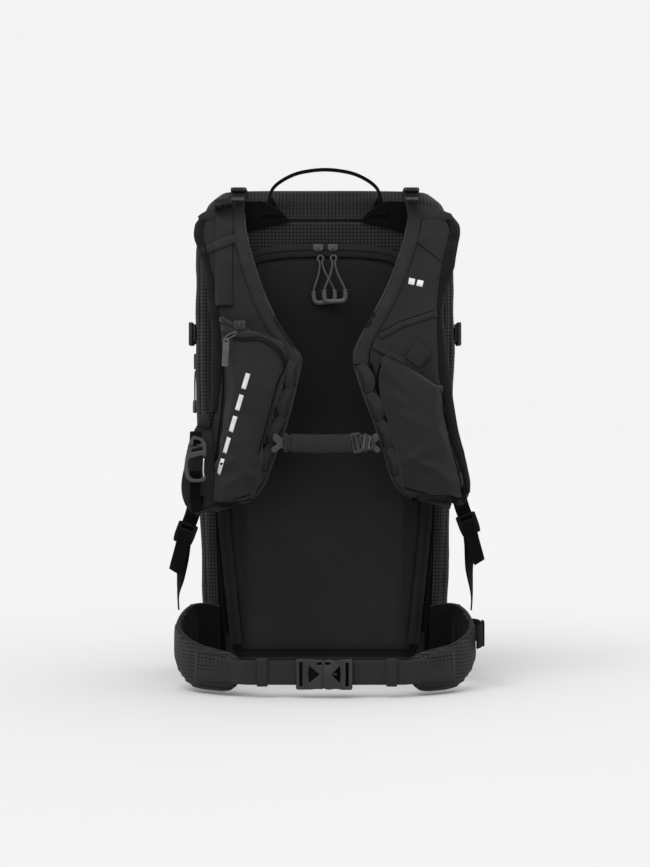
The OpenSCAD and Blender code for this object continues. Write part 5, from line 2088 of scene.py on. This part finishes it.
def square_tab():
    """The square fastening tab that leans out of the mouth of the stretch pocket."""
    low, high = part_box("pocket_tab")
    middle = (low + high) / 2
    lean = math.radians(40)
    verts, uvs = [], []
    n = 12
    for i in range(n):
        for j in range(n):
            u, v = (j / (n - 1) - 0.5) * 19.5 * MM, (i / (n - 1) - 0.5) * 21.5 * MM
            x = middle.x - 2 * MM + u * math.cos(lean) + v * math.sin(lean)
            z = middle.z - 3 * MM - u * math.sin(lean) + v * math.cos(lean)
            y = front_of(pocket_trees[1], x, z)[0].y
            verts.append((x, y - 2.5 * MM - 3 * MM * i / (n - 1) - 0.8 * MM * math.cos(u / (8 * MM)), z))
            uvs.append((u, v))
    tab = add_mesh("pocket_tab_cloth", verts, grid_faces(n, n), STRAP, "harness", uvs)
    thicken(tab, 1.4 * MM)
    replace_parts(tab, "pocket_tab")


square_tab()


# ---------- inside the bag ----------

def airbag():
    """The folded airbag: a stack of pleats with soft edges."""
    low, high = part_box("airbag_folded")
    layers, around = 14, 96
    verts = []
    for i in range(layers * 4 + 1):
        v = i / (layers * 4)
        pleat = 2.2 * MM * math.cos(2 * math.pi * v * layers)
        inset = 5 * MM + 9 * MM * v ** 2 - pleat
        wide, deep = (high[0] - low[0]) / 2 - inset, (high[1] - low[1]) / 2 - inset
        for k in range(around):
            a = 2 * math.pi * k / around
            c, s = math.cos(a), math.sin(a)
            x = wide * math.copysign(abs(c) ** 0.3, c)
            y = deep * math.copysign(abs(s) ** 0.3, s)
            wave = 1.0 * MM * ripple((x, y, v * 0.05), 0.05, 4)
            verts.append(((low[0] + high[0]) / 2 + x + wave, (low[1] + high[1]) / 2 + y + wave,
                          low[2] + 0.5 * MM + v * (high[2] - low[2] - 4 * MM)))
    rings = layers * 4 + 1
    faces = grid_faces(rings, around, closed=True)
    faces += [tuple(range(around - 1, -1, -1)), tuple(range((rings - 1) * around, rings * around))]
    bag = add_mesh("airbag_pack", verts, faces, BALLOON, "pack", [(v[0], v[2]) for v in verts])
    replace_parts(bag, "airbag_folded")


airbag()


def divider_sheet():
    """The cloth between the main room and the tool room."""
    low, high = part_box("divider")
    y = (low[1] + high[1]) / 2
    cols, rows = 40, 60
    verts, uvs = [], []
    for i in range(rows):
        for j in range(cols):
            x = low[0] + (high[0] - low[0]) * j / (cols - 1)
            z = low[2] + (high[2] - low[2]) * i / (rows - 1)
            verts.append((x, y + 1.5 * MM * ripple((x, 0, z), 0.08, 6), z))
            uvs.append((x, z))
    sheet = add_mesh("divider_cloth", verts, grid_faces(rows, cols), BLACK, "pack", uvs)
    thicken(sheet, 0.8 * MM)
    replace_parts(sheet, "divider")


divider_sheet()


def trigger():
    """The release handle: a bright moulded ring on its cable end."""
    low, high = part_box("trigger_handle")
    x0, z0 = low[0], low[2]
    ring = [(2, 0), (20, 0), (22, 6), (22, 54), (20, 60), (14, 61), (13, 67), (9, 67), (8, 61),
            (2, 60), (0, 54), (0, 6)]
    hole = [(6, 10), (16, 10), (16, 50), (6, 50)]
    grip = cut_plate("trigger_grip", ring_of(ring, x0, z0, 2.4 * MM), [ring_of(hole, x0, z0, 3 * MM)],
                     low[1] + 0.2 * MM, high[1] - 0.2 * MM, RED, "trigger_handle", 1.8 * MM)
    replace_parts(grip, "trigger_handle")


trigger()


def release_cable():
    """The release cable inside the bag, from the power unit out through the back."""
    low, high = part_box("trigger_cable")
    r = 1.5 * MM
    y = high[1] - r
    points = [(high[0] - r, y, low[2] + 0.2 * MM), (high[0] - r, y, low[2] + 30 * MM),
              (high[0] - r - MM, y, high[2] - 20 * MM),
              (high[0] - 8 * MM, y, high[2] - 5 * MM), (high[0] - 24 * MM, y, high[2] - r),
              (low[0] + 50 * MM, y, high[2] - r), (low[0] + 14 * MM, y - MM, high[2] - r),
              (low[0] + 4 * MM, y - 6 * MM, high[2] - r), (low[0] + r, y - 14 * MM, high[2] - r),
              (low[0] + r, low[1] + 0.3 * MM, high[2] - r)]
    cable = tube_along("release_cable", points, r * 0.97, SHEATH, "pack", 8, 12)
    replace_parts(cable, "trigger_cable")


release_cable()

PAINTED = {"frame_sheet": SHEET, "frame_rod": ROD, "fan_housing": BUCKLE, "fan_motor": ROD,
           "fan_impeller": HOOK, "air_duct": RUBBER, "power_case": BUCKLE, "capacitor_cells": CELLS,
           "power_button": RED}
for node, paint in PAINTED.items():
    repaint(node, paint)


bpy.context.view_layer.update()
